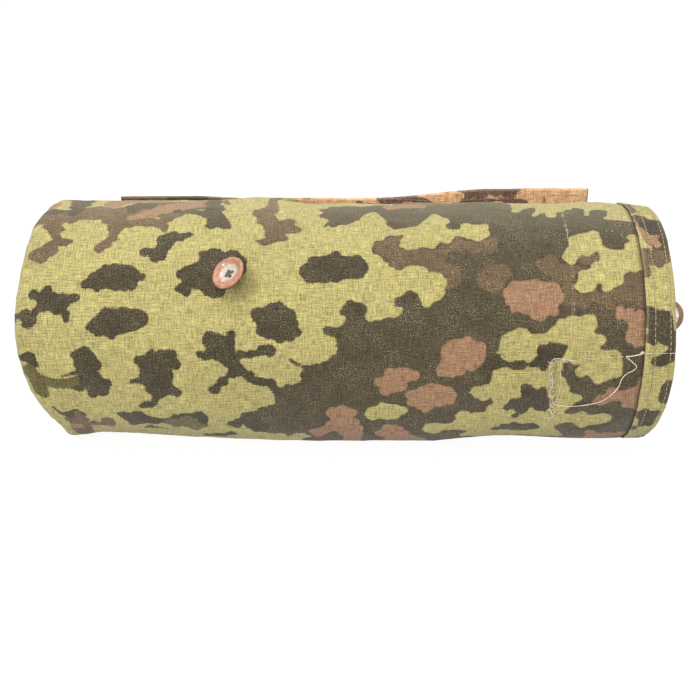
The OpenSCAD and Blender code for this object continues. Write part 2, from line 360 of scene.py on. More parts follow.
# ---------------------------------------------------------------- printed pattern
# Each colour of the print is laid as brush strokes of (distance along, distance round, half width),
# or as outlines of (distance along, distance round). The shade is the broad dark area, and clear is
# the ground's own colour laid over it again. The colours lie over each other in this order:
PALETTE_ORDER = ("shade", "brown", "olive", "pink", "clear", "dark")
FRONT_PRINT = {
    "shade": [
        [(-9, 97), (-12.5, 88), (-12.5, 81), (-9.5, 79), (-12.5, 71), (-11, 69.5), (-8, 73), (-3, 73.5),
         (3, 75), (6, 79), (8, 60), (8, 32), (8, 27), (3, 29), (-1, 28), (-3, 27), (-2, 23), (-1, 20),
         (-4, 17.5), (-8, 18), (-12, 16), (-12, 13), (-8, 12), (-5, 9.5), (-6, 4), (-9, 0), (-14, -1.5),
         (-20, -1), (-26, 2.5), (-28.5, 1), (-27, -1.5), (-22, -3), (-20, -6), (-22, -10), (-27, -12.5),
         (-32, -13), (-36, -10), (-42, -9), (-44, -12), (-38, -14), (-36, -18), (-35, -22), (-37, -26),
         (-41, -28), (-45, -28), (-50, -30), (-53, -35), (-58, -38), (-58, -42), (-53, -42), (-50, -39),
         (-47, -42), (-44, -46), (-40, -48), (-36, -49), (-32, -47), (-30, -52), (-25, -47), (-21, -45),
         (-19, -50), (-24, -54), (-26, -59), (-21, -63), (-19, -68), (-24, -73), (-26, -79), (-24, -86),
         (-15, -87), (-11, -95), (-2, -98), (8, -90), (18, -96), (34, -101), (46, -92), (60, -89),
         (70, -99), (86, -105), (98, -96), (112, -92), (124, -101), (138, -97), (150, -88), (150, 112),
         (60, 112), (45, 104), (17, 103), (12, 97), (0, 99)],
    ],
    "brown": [
        [(-160, 80, 8), (-145, 78, 6), (-130, 84, 8), (-118, 84, 8), (-105, 84, 8), (-88, 90, 12),
         (-74, 96, 10)],
        [(-143, 74, 5), (-141, 66, 2.6), (-138, 61, 3), (-133, 61, 2.6)],
        [(-139, 60, 3.2), (-146, 53, 4.6)],
        [(-114, 80, 6), (-112, 70, 3.6), (-113, 63, 2.4), (-118, 57.5, 3.4)],
        [(-113, 63, 2.2), (-109.5, 62, 1.2)],
        [(-112, 74, 4), (-104, 73.5, 3.4), (-97, 75, 4), (-91, 73, 3.6), (-88, 68, 2)],
        [(-88, 78, 4), (-80, 84, 3)], [(-62, 101, 2.2), (-59.5, 95, 2)],
        [(-38, 124, 3), (-37.5, 100, 3), (-38, 88, 3.6), (-40, 79, 4.4), (-36, 72, 5.5), (-28, 71, 5),
         (-23.5, 70, 2.4)],
        [(-44, 83, 2), (-43, 75, 2.6)], [(-36, 66, 4.6), (-33, 63.5, 3)],
        [(-35, 62, 2.6), (-42.5, 61, 1.6)], [(-29, 76, 3)],
        [(20, 65), (28, 65.5), (28, 63), (25.5, 62), (24, 57.5), (26.5, 55.5), (35.5, 56.5), (40.5, 55.5),
         (43.5, 57.5), (45.5, 59.5), (50.5, 60.5), (52.5, 64), (55, 64), (56.5, 61.5), (60.5, 61.5),
         (65.5, 62.5), (69.5, 63), (73.5, 62), (72, 56.5), (69.5, 54.5), (65.5, 55.5), (62, 52.5),
         (59.5, 52), (56.5, 55), (50.5, 54), (48, 52.5), (47, 50), (50.5, 47.5), (55, 46.5), (54.5, 40.5),
         (54.5, 36.5), (50.5, 35), (46, 34), (46, 41.5), (42, 41), (38, 44), (33.5, 47), (27, 46),
         (25.5, 45), (23, 44), (21, 46.5), (20.5, 50), (15.5, 52), (13, 54), (14.5, 60.5), (18, 62)],
        [(62, 42.5), (65.5, 45.5), (70.5, 49), (75, 49), (78.5, 46.5), (79.5, 41.5), (76.5, 38.5),
         (73.5, 36.5), (72, 32.5), (69.5, 32), (65.5, 32.5), (62, 35), (60, 39)],
        [(90.5, 49), (94.5, 52), (100, 52.5), (101.5, 49), (105.5, 47.5), (109.5, 48), (112, 45),
         (108, 40), (105.5, 35.5), (111, 33), (114.5, 33), (117, 36), (120, 34), (127, 36), (130, 37),
         (130, 41.5), (134, 44.5), (137.5, 44.5), (141, 45), (141, 36), (141, 25), (137, 25), (133, 27.5),
         (129.5, 28.5), (125, 26.5), (120, 26), (117, 28), (110, 26), (103, 25), (102.5, 33),
         (101.5, 37.5), (98, 39.5), (93, 41.5), (91, 44)],
        [(112, 50.5, 2.8), (118, 51, 2.8)],
        [(-141, -37, 4), (-134, -35, 5), (-137, -42, 7), (-138, -54, 7)],
        [(-130, -42, 2.4), (-122, -42, 2.6), (-118, -41, 4.4)], [(-120, -37.5, 2.2), (-117, -45, 2)],
        [(112, -62, 7), (126, -63, 6), (138, -54, 4)], [(30, 110, 8), (60, 112, 8), (95, 114, 7)],
    ],
    "olive": [
        [(-149, -5, 4), (-147, -12, 4.6), (-146.5, -18, 3.4)],
        [(-145, -10.5, 3.6), (-135, -11.5, 3.8), (-126, -11, 3.6)],
        [(-92, -38, 2.6), (-86, -38, 4), (-79, -38, 6), (-75, -41, 5)],
    ],
    "pink": [
        [(-106, 78, 2.6), (-97, 84, 4.6), (-87, 90, 6.5), (-76, 96, 7), (-73, 110, 9)],
        [(-118, 96, 5), (-112, 106, 8), (-94, 108, 8)], [(-149.5, 91, 3.4), (-151, 99, 3)],
        [(-142, -44, 3.2), (-137, -44, 2.4)], [(-144, -50, 2.6)],
        [(17.5, 102), (18.5, 95), (19.5, 91.5), (23.5, 91), (26.5, 93.5), (30, 94), (32, 92), (35.5, 93.5),
         (40, 95.5), (41, 99), (38, 103)],
        [(73, 33.5), (76.5, 37), (80, 39), (86.5, 39.5), (93.5, 39), (99.5, 38.5), (101.5, 35.5),
         (102, 32), (101.5, 27.5), (100, 25), (98.5, 22.5), (95.5, 22), (92.5, 20), (87, 19.5),
         (84.5, 22.5), (76.5, 22.5), (75.5, 26), (74.5, 30)],
        [(44, 7), (47, 10), (51.5, 11.5), (56.5, 12), (62, 10), (65.5, 7), (67, 3.5), (65.5, 0),
         (64.5, -3), (59.5, -4.5), (55, -6.5), (52, -9), (49.5, -9.5), (47, -7.5), (43.5, -6.5),
         (42, -3.5), (43, -0.5), (44, 2)],
        [(14.5, -10), (18.5, -6.5), (22, -3), (25.5, -2.5), (30, -3), (33, -5.5), (33, -8.5), (29.5, -12),
         (27, -15), (24.5, -17.5), (20.5, -18), (17, -17), (15.5, -14.5)],
        [(28, -18), (31.5, -15), (35, -13.5), (40, -12), (44.5, -11.5), (48, -13), (51.5, -14.5),
         (54, -18), (53, -21.5), (50.5, -23.5), (47, -23.5), (44.5, -25.5), (40.5, -28), (37, -28.5),
         (33.5, -28), (31.5, -25), (29.5, -21.5)],
        [(-12, -29), (-6, -27), (-3, -24.5), (2, -25), (5, -28), (3, -34), (5, -37), (8, -41), (9, -46),
         (7, -52), (8, -58), (6, -68), (-2, -68), (-1, -56), (-3, -50), (-3, -46), (-6, -44.5), (-10, -46),
         (-11, -50), (-15, -50), (-16, -47), (-19, -47), (-19, -43), (-15, -41), (-11, -38), (-9, -34),
         (-11, -31.5)],
        [(14.5, -43.5), (18, -41), (23.5, -38), (28, -39), (29.5, -42), (32, -45.5), (35.5, -49.5),
         (39.5, -51.5), (41, -56), (40, -68), (20, -68), (18, -50.5), (15, -49.5)],
        [(125, 26.5), (127, 27.5), (129.5, 28.5), (130.5, 25.5), (134.5, 24.5), (138.5, 24), (142, 22),
         (142, 6.5), (137, 8), (133, 9.5), (130.5, 12), (131.5, 17), (129.5, 20), (125.5, 22)],
        [(120, -18), (124, -17.5), (127, -15.5), (133, -15), (136.5, -14), (137.5, -10), (142, -7),
         (142, -27), (136, -28.5), (133, -25), (131, -22.5), (128, -22.5), (126, -24), (124, -26),
         (120, -25), (117, -24.5), (118, -22)],
        [(120, -47), (124, -48), (128, -52), (134, -52), (138, -50), (140, -56), (128, -62), (118, -58)],
    ],
    "clear": [
        [(5, 76), (6, 80.5), (8, 85), (12, 86.5), (15, 86), (17.5, 82.5), (18.5, 78.5), (19, 75),
         (22, 72.5), (24, 70.5), (28.5, 71.5), (33.5, 72.5), (36.5, 75.5), (39.5, 80.5), (42, 85),
         (45, 85.5), (46.5, 83.5), (48, 80.5), (50.5, 78.5), (51.5, 75.5), (49.5, 73.5), (50, 70.5),
         (52, 68.5), (55, 70.5), (57, 73.5), (61.5, 74), (65.5, 73.5), (69.5, 72), (70, 68.5),
         (68.5, 65.5), (64.5, 62.5), (58.5, 61.5), (55, 64), (53, 64), (52, 61.5), (49.5, 60), (45, 59.5),
         (43, 57), (40.5, 55.5), (36.5, 56.5), (30, 55.5), (25.5, 56.5), (24, 57.5), (25.5, 62),
         (28, 63.5), (28, 65), (23.5, 65.5), (20, 65), (18, 62), (14.5, 60.5), (13.5, 57.5), (12, 55.5),
         (13, 53.5), (15.5, 52), (18, 50), (20.5, 49.5), (20.5, 47), (22, 45), (25.5, 45), (27, 47),
         (31.5, 48), (35, 47), (38.5, 45.5), (40, 42.5), (44.5, 42.5), (48, 40.5), (48, 37), (47, 34),
         (45, 32.5), (45, 29), (40, 27.5), (35.5, 27.5), (34, 30), (33, 32.5), (30, 34), (28, 33.5),
         (25.5, 30.5), (23, 30), (23, 27), (26.5, 26.5), (28, 25), (25.5, 21.5), (23, 20.5), (18.5, 20),
         (15.5, 19), (11.5, 20.5), (10, 22), (8.5, 25.5), (6.5, 28.5), (5, 29)],
        [(83, 87), (87, 86.5), (89.5, 90), (93.5, 92), (93, 87.5), (90.5, 81.5), (91.5, 80), (94.5, 80.5),
         (96.5, 84), (98, 84), (100.5, 81.5), (103.5, 82), (105, 85), (108.5, 87.5), (112, 92.5),
         (115.5, 92.5), (118, 90.5), (117.5, 86.5), (117, 82), (120, 82.5), (122, 87.5), (124.5, 90),
         (129, 87.5), (127, 83.5), (126.5, 79), (129.5, 77.5), (132, 77), (138, 76), (142, 77), (142, 118),
         (84, 118), (82, 100)],
        [(107, 65), (110.5, 66.5), (115.5, 68), (119.5, 67.5), (122, 65), (122, 60.5), (124.5, 57.5),
         (127, 56), (132, 57), (134.5, 60), (134.5, 63.5), (136.5, 65.5), (139.5, 65), (142, 62),
         (142, 46), (137, 44), (133.5, 44), (130.5, 41.5), (130.5, 37), (127, 35), (123, 33.5),
         (120, 33.5), (119.5, 36.5), (118, 37), (116.5, 34), (114.5, 32), (111.5, 32.5), (108, 34),
         (105.5, 35.5), (108, 39), (110, 43.5), (113, 45.5), (116.5, 47), (119.5, 49), (119.5, 53.5),
         (116.5, 53), (113, 52.5), (110.5, 50.5), (109.5, 48.5), (105.5, 47.5), (102.5, 49), (101.5, 52),
         (103.5, 55), (105.5, 57.5), (106.5, 62)],
        [(57.5, -17.5), (59.5, -15), (62, -13.5), (65.5, -14.5), (68, -10.5), (68.5, -5.5), (69.5, 0),
         (71.5, 8.5), (73.5, 11.5), (75.5, 15), (79.5, 16.5), (84.5, 16), (87, 14.5), (93, 14.5), (95, 17),
         (98.5, 19), (101.5, 20), (103, 22), (105.5, 23), (110.5, 22.5), (115.5, 24), (118, 23),
         (118.5, 17), (117, 14.5), (120, 12), (119.5, 8.5), (120.5, 6.5), (127, 6.5), (129.5, 3.5),
         (130.5, 0), (130, -3.5), (128.5, -7), (125.5, -9.5), (120, -10.5), (116, -10), (114.5, -7.5),
         (112.5, -9.5), (110, -9), (108, -7), (110, -3.5), (109.5, -0.5), (106, -0.5), (103, -1.5),
         (102.5, -5), (103, -8.5), (105.5, -10.5), (107, -13), (106.5, -15.5), (110, -17), (113, -18),
         (114.5, -21), (113, -23.5), (110, -24.5), (107.5, -26.5), (106.5, -30), (110, -31), (114.5, -30),
         (118.5, -31.5), (125, -30.5), (128, -31.5), (130, -33.5), (129.5, -37), (127, -40), (123, -41.5),
         (118.5, -42.5), (115, -43), (113, -40.5), (108.5, -39.5), (105, -40), (103.5, -42.5), (105, -46),
         (108, -50), (110, -56), (70, -60), (58, -52), (60, -45.5), (56.5, -45), (52, -44.5), (48, -43.5),
         (45.5, -46.5), (42, -46.5), (38.5, -45), (36, -42), (36.5, -40), (38, -37), (40.5, -36.5),
         (46.5, -37), (50.5, -37), (54, -36.5), (52, -31.5), (55, -28.5), (57.5, -30), (60.5, -30),
         (63.5, -30.5), (66.5, -31.5), (68, -28), (69.5, -25), (70, -20.5), (69, -20), (65.5, -21.5),
         (61.5, -22), (60, -19.5)],
        [(8, -30), (10.5, -25.5), (14.5, -25), (15.5, -22.5), (20, -23), (25, -23.5), (27, -25),
         (29.5, -28), (29.5, -30.5), (27, -32), (25, -35.5), (20, -35.5), (15.5, -35), (13, -36.5),
         (10, -34.5)],
        [(139.5, 33, 1.5)], [(-26, -50.5, 2.2), (-25, -57, 3.6), (-33, -58.5, 3.4)],
    ],
    "dark": [
        [(-17, 41.5, 3), (-3, 41.5, 3)], [(-135.5, 86, 4), (-135, 97, 5.4), (-138, 112, 8), (-140, 126, 6)],
        [(-150, 84, 4), (-143, 84.5, 3)], [(-107, 86, 3.4), (-106, 92, 5.4), (-100, 95, 5), (-98, 90, 3)],
        [(-83, 84.5, 2.2), (-76, 83.5, 2.4), (-69, 83, 3)],
        [(-97.5, 55), (-94.5, 57.5), (-90.5, 57.5), (-89.5, 60), (-90, 65.5), (-86.5, 67.5), (-81, 66.5),
         (-76, 68), (-72.5, 66.5), (-74, 63.5), (-79, 61.5), (-82, 60), (-83, 56), (-85, 53), (-85, 49),
         (-89.5, 48.5), (-93.5, 50.5), (-97.5, 53)],
        [(-121, 37.5, 2.8), (-114, 41, 6.4), (-108, 41, 6.4), (-103, 41.5, 6.4)],
        [(-110, 36.5, 2.6), (-101, 37.5, 2.6)],
        [(-140.5, 38), (-137.5, 37.5), (-136.5, 34), (-131, 33), (-126.5, 31.5), (-128, 28), (-130, 25),
         (-128, 19.5), (-130.5, 17.5), (-133, 18.5), (-133, 22.5), (-137.5, 23.5), (-142.5, 22.5),
         (-144.5, 19.5), (-144.5, 15.5), (-147.5, 15), (-150, 18.5), (-153, 20.5), (-156, 20), (-157, 24),
         (-150, 24), (-145.5, 25), (-143.5, 28), (-146.5, 31), (-145.5, 33), (-142.5, 34)],
        [(-124, 16.5), (-120.5, 21.5), (-116.5, 25), (-110, 25), (-105, 26.5), (-97.5, 26), (-92.5, 24),
         (-92, 19.5), (-94.5, 16), (-101, 14), (-109, 11.5), (-116.5, 11), (-120.5, 13.5)],
        [(-153, 1, 2.4), (-148, 2.5, 3), (-146, -1.5, 2.6)],
        [(-131, 5), (-125, 8), (-120.5, 6), (-117.5, 3), (-117, -2.5), (-118.5, -5.5), (-116.5, -7.5),
         (-112.5, -8.5), (-112.5, -14), (-113.5, -18), (-116.5, -20.5), (-121.5, -19.5), (-124, -18),
         (-126, -14), (-128, -11), (-126, -6), (-127, -2), (-131.5, 2)],
        [(-124, -4.5, 2.6), (-132, -7, 1.4), (-141, -8, 0.9)],
        [(-124, -13, 2.2), (-133, -15, 1.4), (-141, -14, 0.8)],
        [(-100, 1), (-96.5, 4.5), (-92.5, 4.5), (-90, 3), (-87.5, 6), (-82, 7), (-79.5, 5.5), (-79, 2.5),
         (-76.5, -1.5), (-78, -3.5), (-82, -4.5), (-81.5, -8.5), (-83, -11.5), (-78, -15), (-78.5, -19),
         (-82, -20), (-85, -18.5), (-87.5, -20), (-91.5, -23), (-94.5, -26.5), (-100, -27.5),
         (-102.5, -24.5), (-99, -22.5), (-95.5, -21), (-94.5, -18), (-97.5, -12.5), (-104, -11.5),
         (-104.5, -8.5), (-100, -7.5), (-99, -3.5)],
        [(-146, -28, 1.8), (-142.5, -32.5, 1.8), (-139, -32.5, 1.8)],
        [(-137, -30, 2), (-133, -29, 1.8), (-129.5, -34, 1.6)],
        [(-113.5, -30.5), (-109, -28.5), (-99, -30.5), (-95.5, -32.5), (-90.5, -34), (-86.5, -33),
         (-82, -30), (-72.5, -28), (-69, -28.5), (-68.5, -33.5), (-66.5, -36.5), (-69.5, -40.5),
         (-73, -41), (-73, -36), (-78, -33.5), (-85, -35.5), (-90.5, -39), (-92.5, -42), (-99, -41),
         (-103, -42), (-108, -40), (-111.5, -34.5)],
        [(-101, -47, 1.4), (-96, -45, 2.4), (-90, -47, 1.4)],
        [(-68, 124, 4), (-67, 96, 4.2), (-66, 84, 4.8), (-63.5, 76, 6.2), (-60, 73, 4.2)],
        [(-65.5, 58), (-60, 57.5), (-57, 54), (-53, 57), (-50, 53), (-46.5, 50.5), (-47.5, 42.5),
         (-55, 36.5), (-58, 30), (-63.5, 29.5), (-67.5, 33), (-72.5, 34), (-77, 31), (-80, 33),
         (-79, 38.5), (-81, 40.5), (-77, 47.5), (-71.5, 50), (-69.5, 54)],
        [(-20.5, 43.5, 3.2), (-13, 47, 6), (-4, 47, 6.8), (4.5, 46, 7)], [(-19, 39, 2), (-10, 39, 2.4)],
        [(-57, -40, 1.8), (-50, -37, 4), (-45, -33, 4), (-44, -30, 2)], [(-44, -41, 5)],
        [(-68.5, 13.5), (-65.5, 15.5), (-60, 15), (-57, 13.5), (-53, 15.5), (-52, 12.5), (-54, 9),
         (-54, 6), (-50, 5), (-42.5, 6), (-40.5, 8), (-36.5, 9.5), (-32.5, 7), (-33, 2.5), (-36.5, 1.5),
         (-38.5, 3), (-44.5, 1), (-50, 0), (-47.5, -3.5), (-44.5, -6.5), (-38.5, -8.5), (-34, -8),
         (-34, -14), (-41.5, -14), (-46.5, -12.5), (-50, -8.5), (-52, -7.5), (-55, -8.5), (-58, -11.5),
         (-60, -16), (-65.5, -17), (-68, -15), (-65.5, -12.5), (-61.5, -10.5), (-58, -6.5), (-57, -3.5),
         (-61.5, 0), (-65.5, 1.5), (-70.5, 1), (-71, 4), (-67.5, 6), (-68.5, 9)],
        [(-36.5, 29), (-32, 29), (-29, 26.5), (-24, 26), (-23, 21.5), (-24, 18.5), (-19.5, 15.5),
         (-20.5, 11.5), (-26, 11.5), (-29, 9), (-33, 10), (-38.5, 10), (-42.5, 13.5), (-42.5, 17.5),
         (-45, 19), (-44.5, 22.5), (-40.5, 25)],
        [(-70, -53, 2.6), (-62, -52, 2.6), (-55.5, -50, 1.6)], [(25, 29.5, 1.8), (30, 30, 3.6)],
        [(56, 79, 5), (53, 73, 2.6), (52, 70, 1.2)], [(4, 26, 4)],
        [(66, 4), (71, 5.5), (74, 2), (76.5, 0), (80.5, -0.5), (84.5, -0.5), (87, 0.5), (89.5, 3.5),
         (90.5, 5), (92, 7.5), (96.5, 9), (100, 10), (104.5, 9.5), (105.5, 8), (104.5, 4.5), (101.5, 2),
         (98.5, 0.5), (95.5, -2), (93.5, -3.5), (90, -4.5), (85.5, -3.5), (82, -5), (79.5, -4.5), (75, -4),
         (70, -4.5), (66, -6)],
        [(75, -26.5), (76.5, -23.5), (79.5, -20.5), (83, -19.5), (83, -15), (85, -12), (88, -10.5),
         (89, -12), (89.5, -15), (92, -13.5), (95, -12), (96.5, -15), (98, -20), (99, -25), (98.5, -30),
         (97, -31.5), (94.5, -30), (90.5, -27), (87, -28.5), (85.5, -30.5), (85, -33.5), (81.5, -35.5),
         (80.5, -34.5), (82, -30.5), (80, -28), (76.5, -28)],
        [(72, -43.5), (75.5, -41.5), (83, -39.5), (87, -39), (92, -39.5), (95, -40.5), (96.5, -43.5),
         (96, -45.5), (93, -47), (90, -49.5), (85.5, -50.5), (80.5, -49.5), (75.5, -47), (73, -45.5)],
        [(100.5, -9, 1)], [(100.5, -21, 1.4), (101, -18, 0.8)],
    ],
}
CUFF_PRINT = {
    "shade": [
        [(141, 79, 3), (145, 74, 5), (149, 67, 5), (150, 58, 5)],
    ],
    "brown": [
        [(140, 97, 3), (140, 86, 3)], [(142, 53, 4.4), (151, 51, 4.6)], [(139, 54, 3.4), (140, 43, 3.6)],
    ],
    "pink": [
        [(141.5, 75, 1.8), (141.5, 68, 2)], [(143, 65, 2.6), (145, 62, 3.8), (150, 60.5, 3.2)],
    ],
    "dark": [
        [(144, 76, 4), (149, 73, 5.6), (154, 67, 5), (156, 59, 3)], [(140, 24, 3)], [(143, 13, 4)],
        [(143, 20, 5.6), (149, 20, 5.2), (150, 12, 5.4), (155, 11, 4.6)], [(147, 0.5, 3.4), (152, 3, 3.8)],
        [(152, -13, 3), (153, -19, 4.4), (157, -17, 3)], [(141, -31, 3.4), (150, -31, 4.2), (146, -38, 5)],
        [(141, -44, 3)],
    ],
}


def joined(a, b, soft):
    """The smaller of two distances, with the corner where they meet rounded over soft mm."""
    h = np.clip(0.5 + 0.5 * (a - b) / soft, 0, 1)
    return a * (1 - h) + b * h - soft * h * (1 - h)


def outline_distance(knots, q):
    """Signed distance from points q (n, 2) to a closed outline, negative inside, in mm."""
    d = np.full(len(q), 1e3)
    inside = np.zeros(len(q), bool)
    for a, b in zip(knots, np.roll(knots, -1, axis=0)):
        ab = b - a
        t = np.clip(((q - a) @ ab) / max(ab @ ab, 1e-9), 0, 1)
        d = np.minimum(d, np.hypot(*(q - a - t[:, None] * ab).T))
        crossing = (a[1] > q[:, 1]) != (b[1] > q[:, 1])
        inside ^= crossing & (q[:, 0] < a[0] + (q[:, 1] - a[1]) * ab[0] / (ab[1] or 1e-9))
    return np.where(inside, -d, d)


def stroke_distance(strokes, p):
    """Signed distance from points p (n, 2) to a set of strokes and outlines, negative inside, in mm."""
    best = np.full(len(p), 30.0)
    for stroke in strokes:
        knots = np.array(stroke, float)
        low, high = knots[:, :2].min(0) - 25, knots[:, :2].max(0) + 25
        near = np.all((p > low) & (p < high), axis=1)
        q = p[near]
        if not len(q):
            continue
        if knots.shape[1] == 2:
            d = outline_distance(knots, q)
        else:
            d = np.full(len(q), 1e3)
            for a, b in zip(knots, knots[1:] if len(knots) > 1 else knots):
                ab = b[:2] - a[:2]
                t = np.clip(((q - a[:2]) @ ab) / max(ab @ ab, 1e-9), 0, 1)
                d = np.minimum(d, np.hypot(*(q - a[:2] - t[:, None] * ab).T) - (a[2] + (b[2] - a[2]) * t))
        best[near] = joined(best[near], d, 1.4)
    return best


def random_strokes(seed, count, u_range, v_range, widths, legs, reach):
    """Lobed spots scattered at random, for cloth that has no drawn pattern."""
    rng = random.Random(seed)
    strokes = []
    for _ in range(count):
        u, v = rng.uniform(*u_range), rng.uniform(*v_range)
        for _ in range(rng.randint(1, legs)):
            a = rng.uniform(0, 2 * math.pi)
            far = rng.uniform(0.5, 1) * reach
            mid, end = rng.uniform(*widths), rng.uniform(*widths) * 0.6
            strokes.append([(u, v, rng.uniform(*widths)),
                            (u + far * 0.5 * math.cos(a), v + far * 0.5 * math.sin(a), mid),
                            (u + far * math.cos(a + 0.5), v + far * math.sin(a + 0.5), end)])
    return strokes


def shifted(u, v, seed):
    """Cloth coordinates moved a little by noise, so that the strokes aren't smooth."""
    p = np.stack([u, v, np.zeros_like(u)], -1)
    return np.stack([u + 0.6 * noise(p, 5.5, seed) + 0.15 * noise(p, 2.2, seed + 1),
                     v + 0.6 * noise(p + 50, 5.5, seed + 2) + 0.15 * noise(p + 50, 2.2, seed + 3)], -1)


LOBE_CELL = 4.3                             # each cell may hold one round lobe of the print's edges
LOBE_R, LOBE_VARIES = 2.35, 0.5
LOBE_SHRINK = 0.8                           # a stroke's own edge draws back, so that its lobes stand out


def lobed_distance(strokes, p, seed):
    """Distance to the strokes, whose edges are grown with round lobes like the print's leaves."""
    low = np.floor(p.min(0) / LOBE_CELL).astype(int) - 1
    high = np.floor(p.max(0) / LOBE_CELL).astype(int) + 2
    i, j = np.meshgrid(np.arange(low[0], high[0]), np.arange(low[1], high[1]), indexing="ij")
    k = np.zeros_like(i)
    centres = np.stack([i + 0.5 + 0.36 * hashed(i, j, k, seed),
                        j + 0.5 + 0.36 * hashed(i, j, k, seed + 1)], -1) * LOBE_CELL
    depth = stroke_distance(strokes, centres.reshape(-1, 2)).reshape(i.shape)
    radius = np.where(depth < -0.7, LOBE_R + LOBE_VARIES * hashed(i, j, k, seed + 2), -30)
    best = stroke_distance(strokes, p) + LOBE_SHRINK
    cell = np.floor(p / LOBE_CELL).astype(int) - low
    for di in (-1, 0, 1):
        for dj in (-1, 0, 1):
            a, b = cell[:, 0] + di, cell[:, 1] + dj
            best = joined(best, np.hypot(*(p - centres[a, b]).T) - radius[a, b], 0.8)
    return best


def paint(obj, u, v, layers, seed=20):
    """Stores the print's distances and the cloth's own coordinates on a piece."""
    u, v = np.ravel(u).astype(float), np.ravel(v).astype(float)
    p = shifted(u, v, seed)
    for k, name in enumerate(PALETTE_ORDER):
        set_attribute(obj, "print_" + name, lobed_distance(layers.get(name, []), p, seed + 10 * k))
    set_attribute(obj, "cloth", np.stack([u, v, np.zeros(u.size)], -1), "FLOAT_VECTOR")


# ---------------------------------------------------------------- materials
class Nodes:
    """Short calls for building a node material."""

    def __init__(self, name):
        self.material = bpy.data.materials.new(name)
        self.material.use_nodes = True
        self.tree = self.material.node_tree
        self.shader = self.tree.nodes["Principled BSDF"]

    def put(self, socket, value):
        if isinstance(value, bpy.types.NodeSocket):
            self.tree.links.new(value, socket)
        else:
            socket.default_value = value

    def add(self, kind, inputs=(), out=0, **settings):
        node = self.tree.nodes.new("ShaderNode" + kind)
        for key, value in settings.items():
            setattr(node, key, value)
        for key, value in dict(inputs).items():
            self.put(node.inputs[key], value)
        return node.outputs[out]

    def math(self, operation, a, b=0.0, c=0.0):
        return self.add("Math", {0: a, 1: b, 2: c}, operation=operation)

    def around(self, value, centre, factor, base=1.0):
        """base, plus factor times the value's distance from its centre."""
        return self.math("MULTIPLY_ADD", self.math("SUBTRACT", value, centre), factor, base)

    def hypot(self, a, b):
        return self.math("SQRT", self.math("ADD", self.math("MULTIPLY", a, a), self.math("MULTIPLY", b, b)))

    def scaled(self, vector, factors):
        return self.add("VectorMath", {0: vector, 1: factors}, operation="MULTIPLY")

    def noise(self, vector, scale, detail=2.0, roughness=0.5):
        return self.add("TexNoise", {"Vector": vector, "Scale": scale, "Detail": detail,
                                     "Roughness": roughness})

    def attribute(self, name, vector=False):
        return self.add("Attribute", out=1 if vector else 2, attribute_name=name)

    def ramp(self, value, low, high, to_low=0.0, to_high=1.0):
        return self.add("MapRange", {"Value": value, "From Min": low, "From Max": high,
                                     "To Min": to_low, "To Max": to_high}, interpolation_type="SMOOTHSTEP")

    def mix(self, factor, a, b):
        """Colour a where factor is 0, b where it is 1. The numbers are the node's colour sockets."""
        node = self.tree.nodes.new("ShaderNodeMix")
        node.data_type = "RGBA"
        self.put(node.inputs[0], factor)
        self.put(node.inputs[6], a)
        self.put(node.inputs[7], b)
        return node.outputs[2]

    def finish(self, color, rough, bump=None, strength=1.0, distance=0.0002, **fixed):
        self.put(self.shader.inputs["Base Color"], color)
        self.put(self.shader.inputs["Roughness"], rough)
        for name, value in fixed.items():
            self.shader.inputs[name.replace("_", " ")].default_value = value
        if bump is not None:
            normal = self.add("Bump", {"Height": bump, "Strength": strength, "Distance": distance})
            self.put(self.shader.inputs["Normal"], normal)
        return self.material


def rgb(r, g, b):
    """A colour given as it is seen (0-255), as the linear value that shaders use."""
    lin = [(c / 255 / 12.92) if c <= 10 else ((c / 255 + 0.055) / 1.055) ** 2.4 for c in (r, g, b)]
    return (*lin, 1.0)


def weave(n, cloth):
    """Height of a plain weave with uneven, slubby threads, and the slubs by themselves."""
    wobble = n.noise(n.scaled(cloth, (0.35, 0.35, 0.35)), 1.0, 2)
    shift = n.math("MULTIPLY", wobble, 1.6)
    u = n.add("SeparateXYZ", {0: cloth})
    v = u.node.outputs[1]
    rate = 2 * math.pi / WEAVE_PITCH
    wave_u = n.math("SINE", n.math("MULTIPLY_ADD", u, rate, shift))
    wave_v = n.math("SINE", n.math("MULTIPLY_ADD", v, rate, shift))
    over = n.math("MULTIPLY", wave_u, wave_v)
    slub_u = n.noise(n.scaled(cloth, (0.17, 1.5, 1.0)), 1.0, 2, 0.6)
    slub_v = n.noise(n.scaled(cloth, (1.5, 0.18, 1.0)), 1.0, 2, 0.6)
    slubs = n.math("ADD", slub_u, slub_v)
    height = n.math("MULTIPLY_ADD", over, 0.25, n.math("MULTIPLY", slubs, 1.3))
    return height, slubs


SPRING = {"ground": rgb(158, 148, 94), "brown": rgb(92, 76, 55), "olive": rgb(88, 81, 48),
          "pink": rgb(140, 108, 82), "dark": rgb(60, 53, 37), "shade": rgb(68, 60, 43)}
AUTUMN = {"ground": rgb(212, 168, 128), "brown": rgb(136, 94, 64), "olive": rgb(156, 112, 75),
          "pink": rgb(188, 134, 92), "dark": rgb(101, 79, 68), "shade": rgb(101, 79, 68)}
PRINT_EDGE = 0.42                           # half the width of a colour's soft edge, in mm


